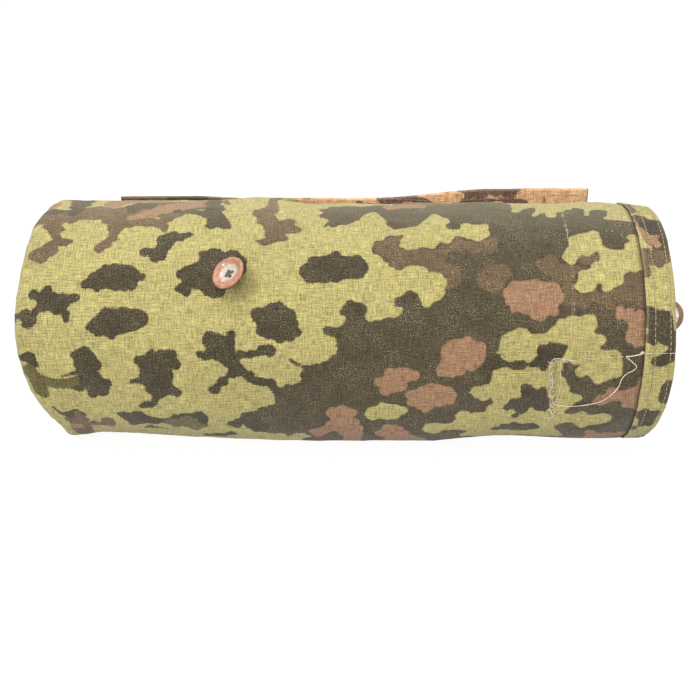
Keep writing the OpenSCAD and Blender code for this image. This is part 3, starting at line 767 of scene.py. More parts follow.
def print_colour(n, cloth, palette, slubs):
    """The printed colours laid over each other, with edges that follow the threads."""
    ragged = n.math("SUBTRACT", n.noise(cloth, 0.75, 3, 0.65), 0.5)
    ragged = n.around(slubs, 1.0, 0.7, n.math("MULTIPLY", ragged, 1.2))
    speck = n.noise(cloth, 1.7, 2, 0.6)
    patchy = n.noise(cloth, 0.07, 2, 0.5)
    colour = palette["ground"]
    for name in PALETTE_ORDER:
        distance = n.math("ADD", n.attribute("print_" + name), ragged)
        cover = n.ramp(distance, PRINT_EDGE, -PRINT_EDGE)
        tone = palette["ground" if name == "clear" else name]
        if name in ("shade", "dark", "brown", "olive"):
            lighter = tuple(c * 3.2 + 0.035 for c in tone[:3]) + (1,)
            worn = n.ramp(speck, 0.50, 0.68, 0, 0.6 if name in ("dark", "shade") else 0.35)
            tone = n.mix(n.math("MULTIPLY", worn, n.ramp(patchy, 0.32, 0.68, 0.3, 1.4)), tone, lighter)
        colour = n.mix(cover, colour, tone)
    return colour


def printed_cloth(name, palette, other=None):
    """Worn plain-weave cotton with a printed pattern, in the other palette where turned is 1."""
    n = Nodes(name)
    cloth = n.attribute("cloth", vector=True)
    height, slubs = weave(n, cloth)
    colour = print_colour(n, cloth, palette, slubs)
    if other:
        colour = n.mix(n.attribute("turned"), colour, print_colour(n, cloth, other, slubs))
    light = n.around(slubs, 1.0, 1.5)
    fine = n.around(n.noise(cloth, 1.7, 2, 0.6), 0.5, 1.9)
    broad = n.around(n.noise(cloth, 0.028, 3, 0.55), 0.5, 0.3)
    tint = n.math("MULTIPLY", n.math("MULTIPLY", light, fine), broad)
    colour = n.add("VectorMath", {0: colour, 3: tint}, operation="SCALE")
    # stray dark threads woven in
    stray = n.math("MAXIMUM", n.ramp(n.noise(n.scaled(cloth, (0.16, 1.9, 1)), 1.0, 1), 0.70, 0.78),
                   n.ramp(n.noise(n.scaled(cloth, (1.9, 0.2, 1)), 1.0, 1), 0.71, 0.79))
    colour = n.mix(n.math("MULTIPLY", stray, 0.35), colour, rgb(72, 60, 36))
    # pale where the cloth is worn, and painted light where the cover sets it
    colour = n.mix(n.attribute("wear_and_light"), colour, rgb(186, 170, 122))
    # dark brown where the cloth is soiled, and painted shadow and shade where the pieces set it
    colour = n.mix(n.attribute("soil_and_shade"), colour, rgb(52, 43, 28))
    return n.finish(colour, 0.92, height, 0.8, 0.00028, Sheen_Weight=0.12, Sheen_Roughness=0.5,
                    Specular_IOR_Level=0.18)


def wool_material():
    n = Nodes("wool_lining")
    cloth = n.attribute("cloth", vector=True)
    nap = n.noise(n.scaled(cloth, (0.5, 1.1, 1)), 1.0, 5, 0.7)
    tufts = n.noise(cloth, 0.22, 3, 0.6)
    colour = n.mix(n.ramp(nap, 0.3, 0.7), rgb(96, 89, 76), rgb(142, 134, 118))
    colour = n.mix(n.ramp(tufts, 0.42, 0.68, 0, 0.5), colour, rgb(132, 116, 92))
    height = n.math("MULTIPLY_ADD", nap, 1.0, tufts)
    return n.finish(colour, 0.97, height, 0.9, 0.0009, Sheen_Weight=0.35, Sheen_Roughness=0.6,
                    Specular_IOR_Level=0.1)


def wadding_material():
    n = Nodes("cotton_wadding")
    where = n.add("TexCoord", out=3)
    lumps = n.noise(where, 260, 5, 0.7)
    colour = n.mix(n.ramp(lumps, 0.3, 0.7), rgb(196, 186, 166), rgb(228, 222, 208))
    return n.finish(colour, 0.97, lumps, 0.8, 0.001, Specular_IOR_Level=0.1)


def thread_material(name, pale, deep):
    """Thread with fine streaks of two tones, yellowed in places."""
    n = Nodes(name)
    where = n.add("TexCoord", out=3)
    fibre = n.noise(where, 5200, 2, 0.6)
    grime = n.noise(where, 420, 2, 0.5)
    colour = n.mix(n.ramp(fibre, 0.3, 0.7), deep, pale)
    colour = n.mix(n.ramp(grime, 0.45, 0.75, 0, 0.35), colour, rgb(150, 132, 98))
    return n.finish(colour, 0.8, fibre, 0.4, 0.00006, Sheen_Weight=0.15, Specular_IOR_Level=0.25)


def button_material(name, deep, light, bare, bare_back=0.0):
    """Paint over metal, chipped, and worn bright in the dish and on the back out to bare_back mm."""
    n = Nodes(name)
    place = n.attribute("dish", vector=True)        # the button's own coordinates in mm
    px = n.add("SeparateXYZ", {0: place})
    _, py, height = px.node.outputs
    spread = n.hypot(n.math("ADD", px, 0.3), n.math("SUBTRACT", py, 0.6))
    edge = n.around(n.noise(place, 0.36, 3, 0.55), 0.5, 7.5, spread)
    worn = n.ramp(edge, 5.0, 4.4)
    front = n.ramp(height, 0.9, 1.1)
    chips = n.ramp(n.noise(place, 1.5, 3, 0.7), 0.66, 0.72, 0, 0.8)
    behind = n.math("SUBTRACT", 1.0, front)
    rubbed = n.math("MULTIPLY", n.ramp(n.hypot(px, py), bare_back, bare_back - 0.5), behind)
    worn = n.math("MAXIMUM", n.math("MAXIMUM", n.math("MULTIPLY", worn, front), rubbed), chips)
    tone = n.noise(place, 0.35, 3, 0.6)
    paint_colour = n.mix(n.ramp(tone, 0.35, 0.65), deep, light)
    metal = n.mix(n.ramp(n.noise(place, 1.1, 3, 0.6), 0.4, 0.7), bare, rgb(160, 152, 140))
    rust = n.ramp(n.noise(place, 0.8, 3, 0.7), 0.6, 0.72, 0, 0.5)
    colour = n.mix(worn, n.mix(rust, paint_colour, rgb(150, 92, 62)), metal)
    rough = n.ramp(worn, 0, 1, 0.5, 0.32)
    bump = n.math("MULTIPLY_ADD", worn, -0.6, n.math("MULTIPLY", n.noise(place, 2.5, 3), 0.5))
    n.put(n.shader.inputs["Metallic"], n.math("MULTIPLY", worn, 0.25))
    return n.finish(colour, rough, bump, 0.5, 0.00012)


SHELL_CLOTH = printed_cloth("camouflage_cloth", SPRING)
FLAP_CLOTH = printed_cloth("reversible_cloth", SPRING, AUTUMN)
WOOL = wool_material()
WADDING = wadding_material()
SEWING = thread_material("sewing_thread", rgb(196, 182, 148), rgb(138, 122, 88))
MENDING = thread_material("mending_thread", rgb(232, 222, 200), rgb(172, 158, 130))
BUTTON_THREAD = thread_material("button_thread", rgb(118, 112, 100), rgb(56, 50, 42))
BUTTON_PAINT = button_material("painted_button", rgb(146, 98, 74), rgb(176, 126, 100), rgb(186, 180, 168))
OLD_PAINT = button_material("painted_button_brown", rgb(104, 78, 52), rgb(132, 104, 74),
                            rgb(236, 230, 220), bare_back=6.6)


def give(obj, material):
    obj.data.materials.clear()
    obj.data.materials.append(material)
    return obj


# ---------------------------------------------------------------- thread
PLY_TURN = 2.4                              # how fast the two plies turn round each other


def yarn(name, paths, radius, material, sides=8, lobes=0.28):
    """Plied thread along each path: a tube whose two-ply section turns as it goes. Sizes in mm."""
    points, faces = [], []
    for path in paths:
        path = np.asarray(path, float)
        step = np.gradient(path, axis=0)
        step /= np.linalg.norm(step, axis=1, keepdims=True) + 1e-12
        travel = np.concatenate([[0], np.cumsum(np.linalg.norm(np.diff(path, axis=0), axis=1))])
        side = np.cross(step[0], (0.3, 0.2, 0.93))
        start = len(points)
        for k, (p, t) in enumerate(zip(path, step)):
            side = side - t * (side @ t)
            side = side / (np.linalg.norm(side) + 1e-12)
            up = np.cross(t, side)
            end = min(k, len(path) - 1 - k)
            slim = 0.55 if end == 0 else 1.0
            for j in range(sides):
                a = 2 * math.pi * j / sides
                ply = math.cos(2 * (a - travel[k] * PLY_TURN / (2 * radius + 0.05)))
                r = radius * slim * (1 + lobes * ply) / (1 + lobes)
                points.append(p + r * (math.cos(a) * side + math.sin(a) * up))
        faces += tube_faces(len(path), sides, start)
    return give(mesh_object(name, points, faces), material)


def lockstitch(surface, u0, v0, u1, v1, sink=0.35, rise=0.26, wander=0.0):
    """One stitch that lies on the cloth between two needle holes."""
    t = np.linspace(0, 1, 9)
    lift = -sink + (sink + rise) * np.clip(np.sin(np.pi * t), 0, 1) ** 0.45
    side = wander * np.sin(np.pi * t)
    du, dv = u1 - u0, v1 - v0
    length = math.hypot(du, dv) or 1.0
    return surface.at(u0 + du * t - dv / length * side, v0 + dv * t + du / length * side, lift)


def stitch_row(surface, start, end, pitch, share, rng, wander=0.12, drift=0.0, period=60.0):
    """A row of stitches from start to end, each (u, v), as uneven as an old machine's."""
    start, end = np.array(start, float), np.array(end, float)
    total = np.linalg.norm(end - start)
    along = (end - start) / total
    across = np.array([-along[1], along[0]])
    paths, at = [], 0.0
    while at < total - pitch:
        length = pitch * rng.uniform(0.9, 1.1)
        sway = drift * math.sin(2 * math.pi * at / period)
        a = start + along * at + across * (sway + rng.uniform(-wander, wander))
        b = a + along * length * share + across * rng.uniform(-wander, wander)
        paths.append(lockstitch(surface, a[0], a[1], b[0], b[1], wander=rng.uniform(-0.08, 0.08)))
        at += length
    return paths


# ---------------------------------------------------------------- the loose thread of the mend
# The route's points: place along the tunnel, distance round the cover, and lift off the cloth.
THREAD_ROUTE = [
    (100, -24, 0.4), (106, -25, 0.5), (112, -25, 0.7), (117, -24, 0.9),
    (122, -22, 1.0), (126, -18, 1.0), (129, -13, 0.9), (130, -9, 0.8),
    (132, -6, 0.7), (135, -4, 0.7), (136, -2, 0.7), (134, 0, 0.6),
    (131, 2.5, 0.5),
]
THREAD_D = 0.5                              # thickness of that thread


def smooth_route(points, per_leg=8):
    """A smooth curve through every point."""
    p = np.asarray(points, float)
    p = np.vstack([2 * p[0] - p[1], p, 2 * p[-1] - p[-2]])
    out = []
    for i in range(1, len(p) - 2):
        a, b, c, d = p[i - 1:i + 3]
        for t in np.arange(per_leg) / per_leg:
            bend = (2 * a - 5 * b + 4 * c - d) * t * t + (3 * b - a - 3 * c + d) * t ** 3
            out.append(0.5 * (2 * b + (c - a) * t + bend))
    out.append(p[-2])
    return np.array(out)


def make_loose_thread():
    route = smooth_route(THREAD_ROUTE)
    path = shell.at(route[:, 0], route[:, 1], route[:, 2] - 0.1)
    piece = yarn("loose_mending_thread", [path], THREAD_D / 2, MENDING, 10, 0.2)
    length = np.linalg.norm(np.diff(path, axis=0), axis=1).sum()
    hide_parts("loose_thread")
    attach(piece, "muff")
    [tuple(p * MM) for p in path]


make_loose_thread()

# ---------------------------------------------------------------- cloth pieces of the tube
def surface_piece(name, surface, material):
    """A piece that is one cloth surface, closed round the tube."""
    points = surface.points[:, :-1]
    faces = ring_faces(*points.shape[:2])
    obj = give(mesh_object(name, points.reshape(-1, 3), faces), material)
    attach(obj, "muff")
    u, v = np.meshgrid(surface.u, surface.v[:-1], indexing="ij")
    return obj, u.ravel(), v.ravel()


def ribbon_faces(n, m, flip):
    """Faces of a ribbon of n sections, each a closed outline of m points."""
    faces = grid_faces(n, m, flip)
    under = [(a, a + m - 1, a + 2 * m - 1, a + m) for a in range(0, (n - 1) * m, m)]
    faces += [face[::1 if flip else -1] for face in under]
    ends = [tuple(range(m)), tuple(range((n - 1) * m, n * m))[::-1]]
    return faces + [end if flip else end[::-1] for end in ends]


def strip(name, surface, u_range, v_range, lift, material, layers=None, step=1.6, seed=40):
    """A folded tape sewn on a surface: flat on top, with rounded edges and slightly uneven width."""
    u = np.arange(u_range[0], u_range[1] + step / 2, step)
    v0, v1 = v_range
    base, top = lift
    inset = min(0.6, (v1 - v0) / 6)
    across = np.concatenate([[v0 + 0.1, v0, v0 + 0.15, v0 + inset],
                             np.linspace(v0 + inset, v1 - inset, 7)[1:-1],
                             [v1 - inset, v1 - 0.15, v1, v1 - 0.1]])
    lifts = np.array([base, (base + top) / 2, top - 0.15] + [top] * 7 + [top - 0.15, (base + top) / 2, base])
    uu, vv = np.meshgrid(u, across, indexing="ij")
    wobble = 0.3 * noise(np.stack([uu, 0 * uu + v0, 0 * uu], -1), 14, seed)
    ripple = 0.16 * noise(np.stack([uu, vv, 0 * uu], -1), 7, seed + 1)
    points = surface.at(uu, vv + wobble, np.broadcast_to(lifts, uu.shape) + ripple * (lifts > base))
    obj = mesh_object(name, points.reshape(-1, 3), ribbon_faces(*uu.shape, flip=surface.side > 0))
    give(obj, material)
    paint(obj, uu, vv, layers or {})
    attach(obj, "muff")
    return obj


def rear_print(seed, u_range, v_ranges):
    """The same kind of print as on the front, scattered at random over the hidden side."""
    # colour, spots to 1000 mm2, their half widths, and their legs and reach
    kinds = (("brown", 0.55, (3.5, 6.5), 4, 17), ("pink", 0.34, (4, 7), 2, 12),
             ("dark", 1.7, (3, 6.5), 5, 15), ("shade", 0.35, (5, 10), 4, 22))
    layers = {}
    for k, v_range in enumerate(v_ranges):
        area = (u_range[1] - u_range[0]) * (v_range[1] - v_range[0]) / 1000
        for name, per_area, widths, legs, reach in kinds:
            layers.setdefault(name, []).extend(random_strokes(
                seed + 7 * k + len(name), int(area * per_area), u_range, v_range, widths, legs, reach))
    return layers


def merged(*sets):
    return {name: [stroke for layers in sets for stroke in layers.get(name, [])] for name in PALETTE_ORDER}


HIDDEN_SIDES = ((120, 212), (-174, -74))    # arcs of the cover that the photograph doesn't show
COVER_PRINT = merged(FRONT_PRINT, rear_print(5, (-160, 142), HIDDEN_SIDES),
                     rear_print(17, (-205, -165), ((-174, 212),)))


def make_cover():
    obj, u, v = surface_piece("cover_cloth", shell, SHELL_CLOTH)
    paint(obj, u, v, COVER_PRINT)
    rubbed = 0.5 + 0.5 * noise(np.stack([0 * u, v, 0 * u], -1), 9, 15)
    crease = bell(u, 106.3 + 0.5 * np.sin(v / 9), 0.6)
    wear_and_light = 0.55 * rubbed * crease * smoothstep(-6, 2, v) * smoothstep(36, 14, v)
    wear_and_light += 0.12 * rubbed * bell(u, 107, 0.9) * smoothstep(20, 60, v) * smoothstep(100, 90, v)
    # painted light: the cloth paler over the top of the tube
    wear_and_light += 0.12 * smoothstep(55, 105, v) * smoothstep(165, 120, v)
    set_attribute(obj, "wear_and_light", np.clip(wear_and_light, 0, 1))
    # painted shadow along the foot of the cuff's free fold; darker round the left end
    soil_and_shade = 0.8 * bell(u, CUFF_X - 0.2, 0.9) + 0.16 * bell(u, X0 - 8, 10)
    soil_and_shade += 0.45 * bell(u, 99.5, 0.8) * smoothstep(-34, -30, v) * smoothstep(2, -2, v)
    # painted shadow of the front button, cast below it and to its right
    soil_and_shade += 0.4 * np.exp(-(np.hypot(u - BUTTON_X - 3, v - BUTTON_ARC + 3) / 8) ** 4)
    # painted shade: darker towards the bottom of the tube
    soil_and_shade += 0.34 * smoothstep(-24, -78, v)
    set_attribute(obj, "soil_and_shade", np.clip(soil_and_shade, 0, 1))
    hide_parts("outer_shell")


def make_binding():
    obj, u, v = surface_piece("cuff_binding_cloth", cuff, SHELL_CLOTH)
    hidden = rear_print(31, (141, 190), ((98, 212), (-174, -52)))
    inside = rear_print(37, (163, 190), ((-52, 98),))
    paint(obj, u, v, merged(CUFF_PRINT, hidden, inside), seed=61)
    wear_and_light = 0.1 * sum(bell(u, row, 0.5) for row in CUFF_ROWS) + 0.3 * bell(u, X1 + 0.2, 0.8)
    wear_and_light += 0.3 * bell(u, CUFF_X + 0.6, 0.5)
    set_attribute(obj, "wear_and_light", np.clip(wear_and_light, 0, 1))
    # painted shadow where the free fold tucks under, and painted shade further into the tunnel
    soil_and_shade = 0.8 * smoothstep(CUFF_X + 0.3, CUFF_X - 0.6, u) + 0.25 * smoothstep(X1 + 12, X1 + 24, u)
    # darker along the two stitch rows; painted shade towards the bottom
    soil_and_shade += 0.28 * sum(bell(u, row, 0.45) for row in CUFF_ROWS) + 0.34 * smoothstep(-24, -78, v)
    set_attribute(obj, "soil_and_shade", soil_and_shade)
    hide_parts("cuff_binding")


def make_lining():
    """Wool tube: the face that shows in the tunnel, and its back against the filling."""
    rows, columns = lining.points.shape[:2]
    columns -= 1
    uu, vv = np.meshgrid(lining.u, lining.v[:-1], indexing="ij")
    p = np.stack([uu, vv, 0 * uu], -1)
    pile = 0.35 * noise(p, 3.2, 11) + 0.5 * noise(p * (0.4, 1, 1), 12, 12)
    face = lining.at(uu, vv, pile)
    back = lining.at(uu, vv, -LINING_T)
    count, far = rows * columns, (rows - 1) * columns
    faces = []
    for j in range(columns):
        k = (j + 1) % columns
        for i in range(rows - 1):
            quad = (i * columns + j, i * columns + k, (i + 1) * columns + k, (i + 1) * columns + j)
            faces.append(quad)
            faces.append(tuple(count + t for t in quad[::-1]))
        faces.append((j, count + j, count + k, k))
        faces.append((far + j, far + k, count + far + k, count + far + j))
    points = np.concatenate([face.reshape(-1, 3), back.reshape(-1, 3)])
    obj = give(mesh_object("wool_lining", points, faces), WOOL)
    set_attribute(obj, "cloth", np.tile(p.reshape(-1, 3), (2, 1)), "FLOAT_VECTOR")
    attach(obj, "muff")
    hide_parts("lining")


def make_filling():
    """The cotton filling between the cover and the lining."""
    outer_r, inner_r = SHELL_R - 1.5, LINING_R + 2.1
    half = (outer_r - inner_r) / 2
    section = [(x, outer_r) for x in np.arange(X0 + 9, X1 - 4, 4.0)]
    section += [(X1 - 4 + 2 * math.sin(t), outer_r - half + half * math.cos(t))
                for t in np.linspace(0.3, math.pi - 0.3, 6)]
    section += [(x, inner_r) for x in np.arange(X1 - 5, X0 + 9, -4.0)]
    section += [(X0 + 9 - 6 * math.sin(t), inner_r + half - half * math.cos(t))
                for t in np.linspace(0.25, math.pi - 0.25, 8)]
    section = np.array(section)
    arcs = round_arcs(90)
    x = np.repeat(section[:, :1], len(arcs), 1)
    r = np.repeat(section[:, 1:], len(arcs), 1)
    weight = smoothstep(inner_r, outer_r, r)
    points = tube_point(x, np.repeat(arcs[None], len(section), 0), r, weight, 0.4 + 0.6 * weight)[:, :-1]
    faces = ring_faces(*points.shape[:2], closed=True)
    obj = give(mesh_object("cotton_filling", points.reshape(-1, 3), faces), WADDING)
    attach(obj, "muff")
    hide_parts("wadding")


make_cover()
make_binding()
make_lining()
make_filling()

# ---------------------------------------------------------------- seams and machine stitching
class RaisedSurface:
    """A surface as it is on top of a tape that lies on it."""

    def __init__(self, surface, height):
        self.surface, self.height = surface, height

    def at(self, u, v, lift=0.0):
        return self.surface.at(u, v, np.asarray(lift, float) + self.height)


def sew(name, paths, node=None, radius=THREAD_R, material=None, body="muff"):
    obj = yarn(name, paths, radius, material or SEWING, sides=6)
    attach(obj, body)
    if node:
        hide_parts(node)
    return obj


def arc_at(deg):
    return deg / 360 * TURN


def seam_strips():
    """Seam down the back of the cover, the seam of the lining, and the tape over the flap's root."""
    rng = random.Random(3)
    back = strip("back_seam_fold", shell, (X0 + 4, CUFF_X + 0.5), (arc_at(194), arc_at(203)),
                 (-0.2, SEAM_TOP), SHELL_CLOTH, COVER_PRINT)
    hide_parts("back_seam")
    rows = []
    for deg in (195.4, 201.6):
        ends = (X0 + 6, arc_at(deg)), (CUFF_X - 1, arc_at(deg))
        rows += stitch_row(RaisedSurface(shell, SEAM_TOP), *ends, SEAM_STITCH, 0.72, rng, drift=0.25)
    sew("back_seam_thread", rows, "back_seam_stitches")

    inside = strip("lining_seam_fold", lining, (X0 + 26, CUFF_X), (arc_at(186), arc_at(194)),
                   (-0.2, SEAM_TOP), WOOL, seed=52)
    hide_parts("lining_seam")
    ends = (X0 + 28, arc_at(190)), (CUFF_X - 2, arc_at(190))
    sew("lining_seam_thread", stitch_row(RaisedSurface(lining, SEAM_TOP), *ends, HEM_STITCH, 0.66, rng))

    tape = strip("flap_root_fold", shell, (FLAP_X0, FLAP_X1), (arc_at(176), arc_at(190)),
                 (0.4, TAPE_TOP), SHELL_CLOTH, COVER_PRINT, seed=47)
    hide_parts("flap_root_tape")
    rows = []
    for deg in (177.6, 188.4):
        ends = (FLAP_X0 + 2, arc_at(deg)), (FLAP_X1 - 2, arc_at(deg))
        rows += stitch_row(RaisedSurface(shell, TAPE_TOP), *ends, SEAM_STITCH, 0.72, rng, drift=0.2)
    sew("flap_root_thread", rows, "flap_root_stitches")


def ring_stitches():
    """Stitch rows that run round the tube: two through the cuff and one through the left hem."""
    rng = random.Random(8)
    low, high = SEAM_ARC - TURN, SEAM_ARC
    for name, node, x in (("cuff_thread_inner", "cuff_stitches_inner", CUFF_ROWS[0]),
                          ("cuff_thread_rim", "cuff_stitches_rim", CUFF_ROWS[1])):
        rows = stitch_row(cuff, (x, low), (x, high), CUFF_STITCH, 0.74, rng, 0.1, 0.35, 90)
        sew(name, rows, node)
    turned_in = shell.points[:18, 0, 0]                     # the cover's rows inside the left mouth
    hem = shell.u[np.argmin(np.abs(turned_in - (X0 + 20)))]
    rows = stitch_row(shell, (hem, low), (hem, high), HEM_STITCH, 0.7, rng)
    sew("left_hem_thread", rows, "left_hem_stitches")


seam_strips()
ring_stitches()

# ---------------------------------------------------------------- the mend
def laid(surface, route, per_leg=6):
    """A thread laid on a surface along a route of (u, v, lift)."""
    line = smooth_route(route, per_leg)
    return surface.at(line[:, 0], line[:, 1], line[:, 2])


def sew_mend(name, paths, node, radius):
    sew(name, paths, node, radius, MENDING)


def mend():
    rng = random.Random(21)
    paths = []
    for k in range(18):                                     # two slanted columns down the tear
        t = (k + rng.uniform(-0.4, 0.4)) / 18
        arc, x = -1.5 - 30 * t, 96.8 + 2.9 * t
        for side in (-1, 1):
            a = (x + side * rng.uniform(0.7, 1.9), arc + rng.uniform(-0.2, 1.7))
            b = (x + side * rng.uniform(-0.9, 0.5), arc - rng.uniform(0.4, 2.3))
            rise, wander = rng.uniform(0.35, 0.75), rng.uniform(-0.3, 0.3)
            paths.append(lockstitch(shell, *a, *b, 0.2, rise, wander))
    for k in range(11):                                     # loops along the top of the tear
        x = 98 + k * 0.95
        a = (x, 0.5 + rng.uniform(0.2, 1.0))
        b = (x + rng.uniform(0.5, 1.3), 0.3 - rng.uniform(0.4, 1.2))
        paths.append(lockstitch(shell, *a, *b, 0.2, rng.uniform(0.3, 0.6)))
    paths.append(laid(shell, [(96.2, -5, 0.5), (96.3, -1.6, 0.6), (97.6, 0.9, 0.6), (100.5, 1.4, 0.5),
                              (104, 0.9, 0.5), (108.5, 0.7, 0.3)]))
    paths.append(laid(shell, [(97.2, -6, 0.6), (98.6, -12, 0.7), (97.4, -17, 0.6), (99.4, -22, 0.6),
                              (98.9, -27, 0.6), (100.6, -31.4, 0.4)]))
    paths.append(laid(shell, [(99.2, -29.5, 0.5), (100.9, -31.8, 0.5), (99.6, -33.6, 0.5),
                              (97.6, -33.9, 0.2)]))
    sew_mend("mend_whip_thread", paths, "mend_whip_stitches", 0.19)

    fine, x = [], 109.5
    while x < 130:
        length = rng.uniform(0.9, 2.1)
        arc = 0.9 + (x - 109) * 0.09
        near, far = arc + rng.uniform(-0.15, 0.15), arc + rng.uniform(-0.15, 0.2)
        fine.append(lockstitch(shell, x, near, x + length, far, 0.2, 0.18))
        x += length + rng.uniform(0.3, 1.3)
    sew_mend("mend_running_thread", fine, "mend_running_stitches", 0.16)

    bar = [(131, 2.6, 0.35), (133, 2.8, 0.55), (135.6, 3.4, 0.6), (137.6, 3.9, 0.6), (138.9, 4.6, 0.55),
           (138.2, 5.0, 0.4), (137.4, 4.3, 0.3)]
    sew_mend("mend_bar_thread", [laid(shell, bar)], "mend_bar_tack", 0.36)
    spans = ((CUFF_X + 0.4, 143), (143.2, 146.6), (147, 151), (151.4, 154.4))
    across = [lockstitch(cuff, a, 4.2, b, 4.3, 0.2, 0.12) for a, b in spans]
    sew_mend("mend_cuff_thread", across, None, 0.17)
    stray = [(101.2, -4, 0.2), (102, -8, 0.45), (102.1, -13, 0.4), (101.6, -19, 0.35), (100.4, -24, 0.3),
             (99.6, -27, 0.1)]
    sew_mend("mend_stray_thread", [laid(shell, stray)], None, 0.14)


def old_seam():
    """Broken ends of an unpicked seam, along the pale crease and beside it."""
    rng = random.Random(34)
    bits = []
    for _ in range(34):
        arc = rng.uniform(20, 88) if rng.random() < 0.35 else rng.uniform(60, 86)
        x = 106.6 + rng.gauss(0, 0.5)
        bits.append((x, arc, x + rng.uniform(-0.5, 0.5), arc + rng.uniform(0.6, 2.2)))
    for _ in range(34):
        x, arc = rng.uniform(97, 138), rng.gauss(67, 4)
        turn, length = rng.uniform(-0.6, 0.6), rng.uniform(0.3, 0.9)
        bits.append((x, arc, x + length * math.cos(turn), arc + length * math.sin(turn)))
    paths = [lockstitch(shell, *bit, 0.22, 0.12) for bit in bits]
    sew_mend("old_seam_thread", paths, "old_seam_threads", 0.10)


mend()
old_seam()

# ---------------------------------------------------------------- the reversible flap
FLAP_T = 1.0                                # thickness of the doubled flap cloth
FLAP_FRONT = FLAP_Y - 0.25                  # its front face, where it stands upright
FLAP_DEPTH = 48.0                           # from the top edge to the root, in cloth coordinates


def flap_top(x):
    """Height of the flap's free edge above the floor."""
    top = 108.5 + 1.1 * smoothstep(-60, -85, x) + 5.3 * smoothstep(10, 76, x)
    top = top + 0.5 * smoothstep(90, 118, x) - 0.4 * smoothstep(125, 134, x)
    return top + 0.3 * noise(np.stack([x, 0 * x, 0 * x], -1), 13, 71)


def flap_wave(x, height):
    """How far the flap stands behind its upright plane."""
    p = np.stack([x, height, 0 * x], -1)
    up = np.clip(height / FLAP_DEPTH, 0, 1.1)
    out = 1.5 * up ** 1.4 * noise(p * (1, 0.25, 1), 52, 72) + 0.7 * up * noise(p, 21, 73)
    return out + 0.12 * noise(p, 5, 74) * smoothstep(0, 8, height) - 1.6 * up ** 2


def flap_surface():
    """The flap as one cloth: up its front, over the top fold and down its back.

    The place across is minus the depth below the top on the front, and plus the depth on the back."""
    x = np.arange(FLAP_X0, FLAP_X1 + 0.1, 2.0)
    height = flap_top(x) - FLAP_ROOT_Z
    front, back = [], []
    for depth in np.concatenate([np.linspace(0.5, 44, 26), [46, FLAP_DEPTH]]):
        h = height * (1 - depth / FLAP_DEPTH)
        y = FLAP_FRONT + flap_wave(x, h)
        front.append((-depth, np.stack([x, y, FLAP_ROOT_Z + h], -1)))
        back.append((depth, np.stack([x, y + FLAP_T, FLAP_ROOT_Z + h], -1)))
    for s in np.linspace(1.5, 13, 5):                       # the sewn part, under the tape
        arc = TURN / 2 + s - 5.5
        front.append((-FLAP_DEPTH - s, shell.at(x, arc, 0.15)))
        back.append((FLAP_DEPTH + s, shell.at(x, arc, 0.9)))
    top = np.stack([x, FLAP_FRONT + flap_wave(x, height) + FLAP_T / 2, FLAP_ROOT_Z + height], -1)
    fold = [(-0.2, top + (0, -0.25, -0.12)), (0.0, top), (0.2, top + (0, 0.25, -0.12))]
    places, columns = zip(*(front[::-1] + fold + back))
    return Surface(x, places, np.stack(columns, 1))


flap = flap_surface()

# Strokes on the flap: the second number is minus the depth on the front, plus the depth on the back.
FLAP_PRINT = {
    "brown": [
        [(-132, -2, 5), (-103, -3, 5), (-118, -12, 8)], [(-77, -2, 4), (-64, -3, 3.5)],
        [(-20, -18, 6), (0, -24, 7)], [(60, -26, 6), (84, -22, 5)], [(118, -34, 8), (126, -22, 5)],
        [(20, -34, 7), (34, -40, 6)],
    ],
    "dark": [
        [(-96, -3, 5), (-81, -3, 5)], [(-90, -14, 5), (-76, -22, 6)], [(-44, -0.5, 1.6), (-37, -0.5, 1.6)],
        [(-28, 0.4, 1.4), (-18, 0.4, 1.4)], [(4, -3.6, 1.3), (15, -3.6, 1.6)],
        [(20, -1, 1.6), (32, -1.6, 2.2), (42, -3.2, 2.4), (48, -5.5, 1.6)],
        [(62, 0, 1.6), (72, -1, 2.6), (92, -1, 2.6), (95, 0, 1.6)],
        [(67, -7, 2.2), (74, -6, 2), (84, -5.2, 1.4), (91, -6.4, 2.4), (99, -8, 2.6)],
        [(84, -13, 4), (102, -15, 5)], [(109.6, 1, 1.1), (110.4, -4, 0.9), (109.8, -8, 1.4)],
        [(123.4, 0.3, 1.5)], [(-8, -12, 4), (10, -14, 5), (30, -15, 4)], [(44, -20, 5), (52, -30, 6)],
        [(-30, -30, 6), (-44, -36, 7)], [(112, -20, 4), (128, -12, 3)], [(70, -38, 6), (96, -34, 5)],
        [(134.4, -8, 1.2), (134.4, -14, 1.4)],
    ],
}
FLAP_LAYERS = merged(FLAP_PRINT, rear_print(77, (FLAP_X0 - 4, FLAP_X1 + 4), ((4, 62),)))


def autumn_side(u, v):
    """1 where the cloth shows its autumn side: the front, but for a strip turned over at the top left."""
    below_strip = smoothstep(-8.6, -9.8, v - 0.02 * u)
    return smoothstep(0.5, -0.5, v) * np.maximum(smoothstep(-29, -25.5, u + 0.8 * np.sin(v)), below_strip)


def finish_flap_piece(obj, uu, vv, wear_and_light, node):
    give(obj, FLAP_CLOTH)
    u, v = uu.ravel(), vv.ravel()
    paint(obj, u, v, FLAP_LAYERS, seed=91)
    set_attribute(obj, "turned", autumn_side(u, v))
    set_attribute(obj, "wear_and_light", wear_and_light.ravel())
    # painted shadow at the flap's two cut ends
    set_attribute(obj, "soil_and_shade", 0.5 * (bell(u, FLAP_X0, 0.7) + bell(u, FLAP_X1, 0.5)))
    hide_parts(node)
    return obj


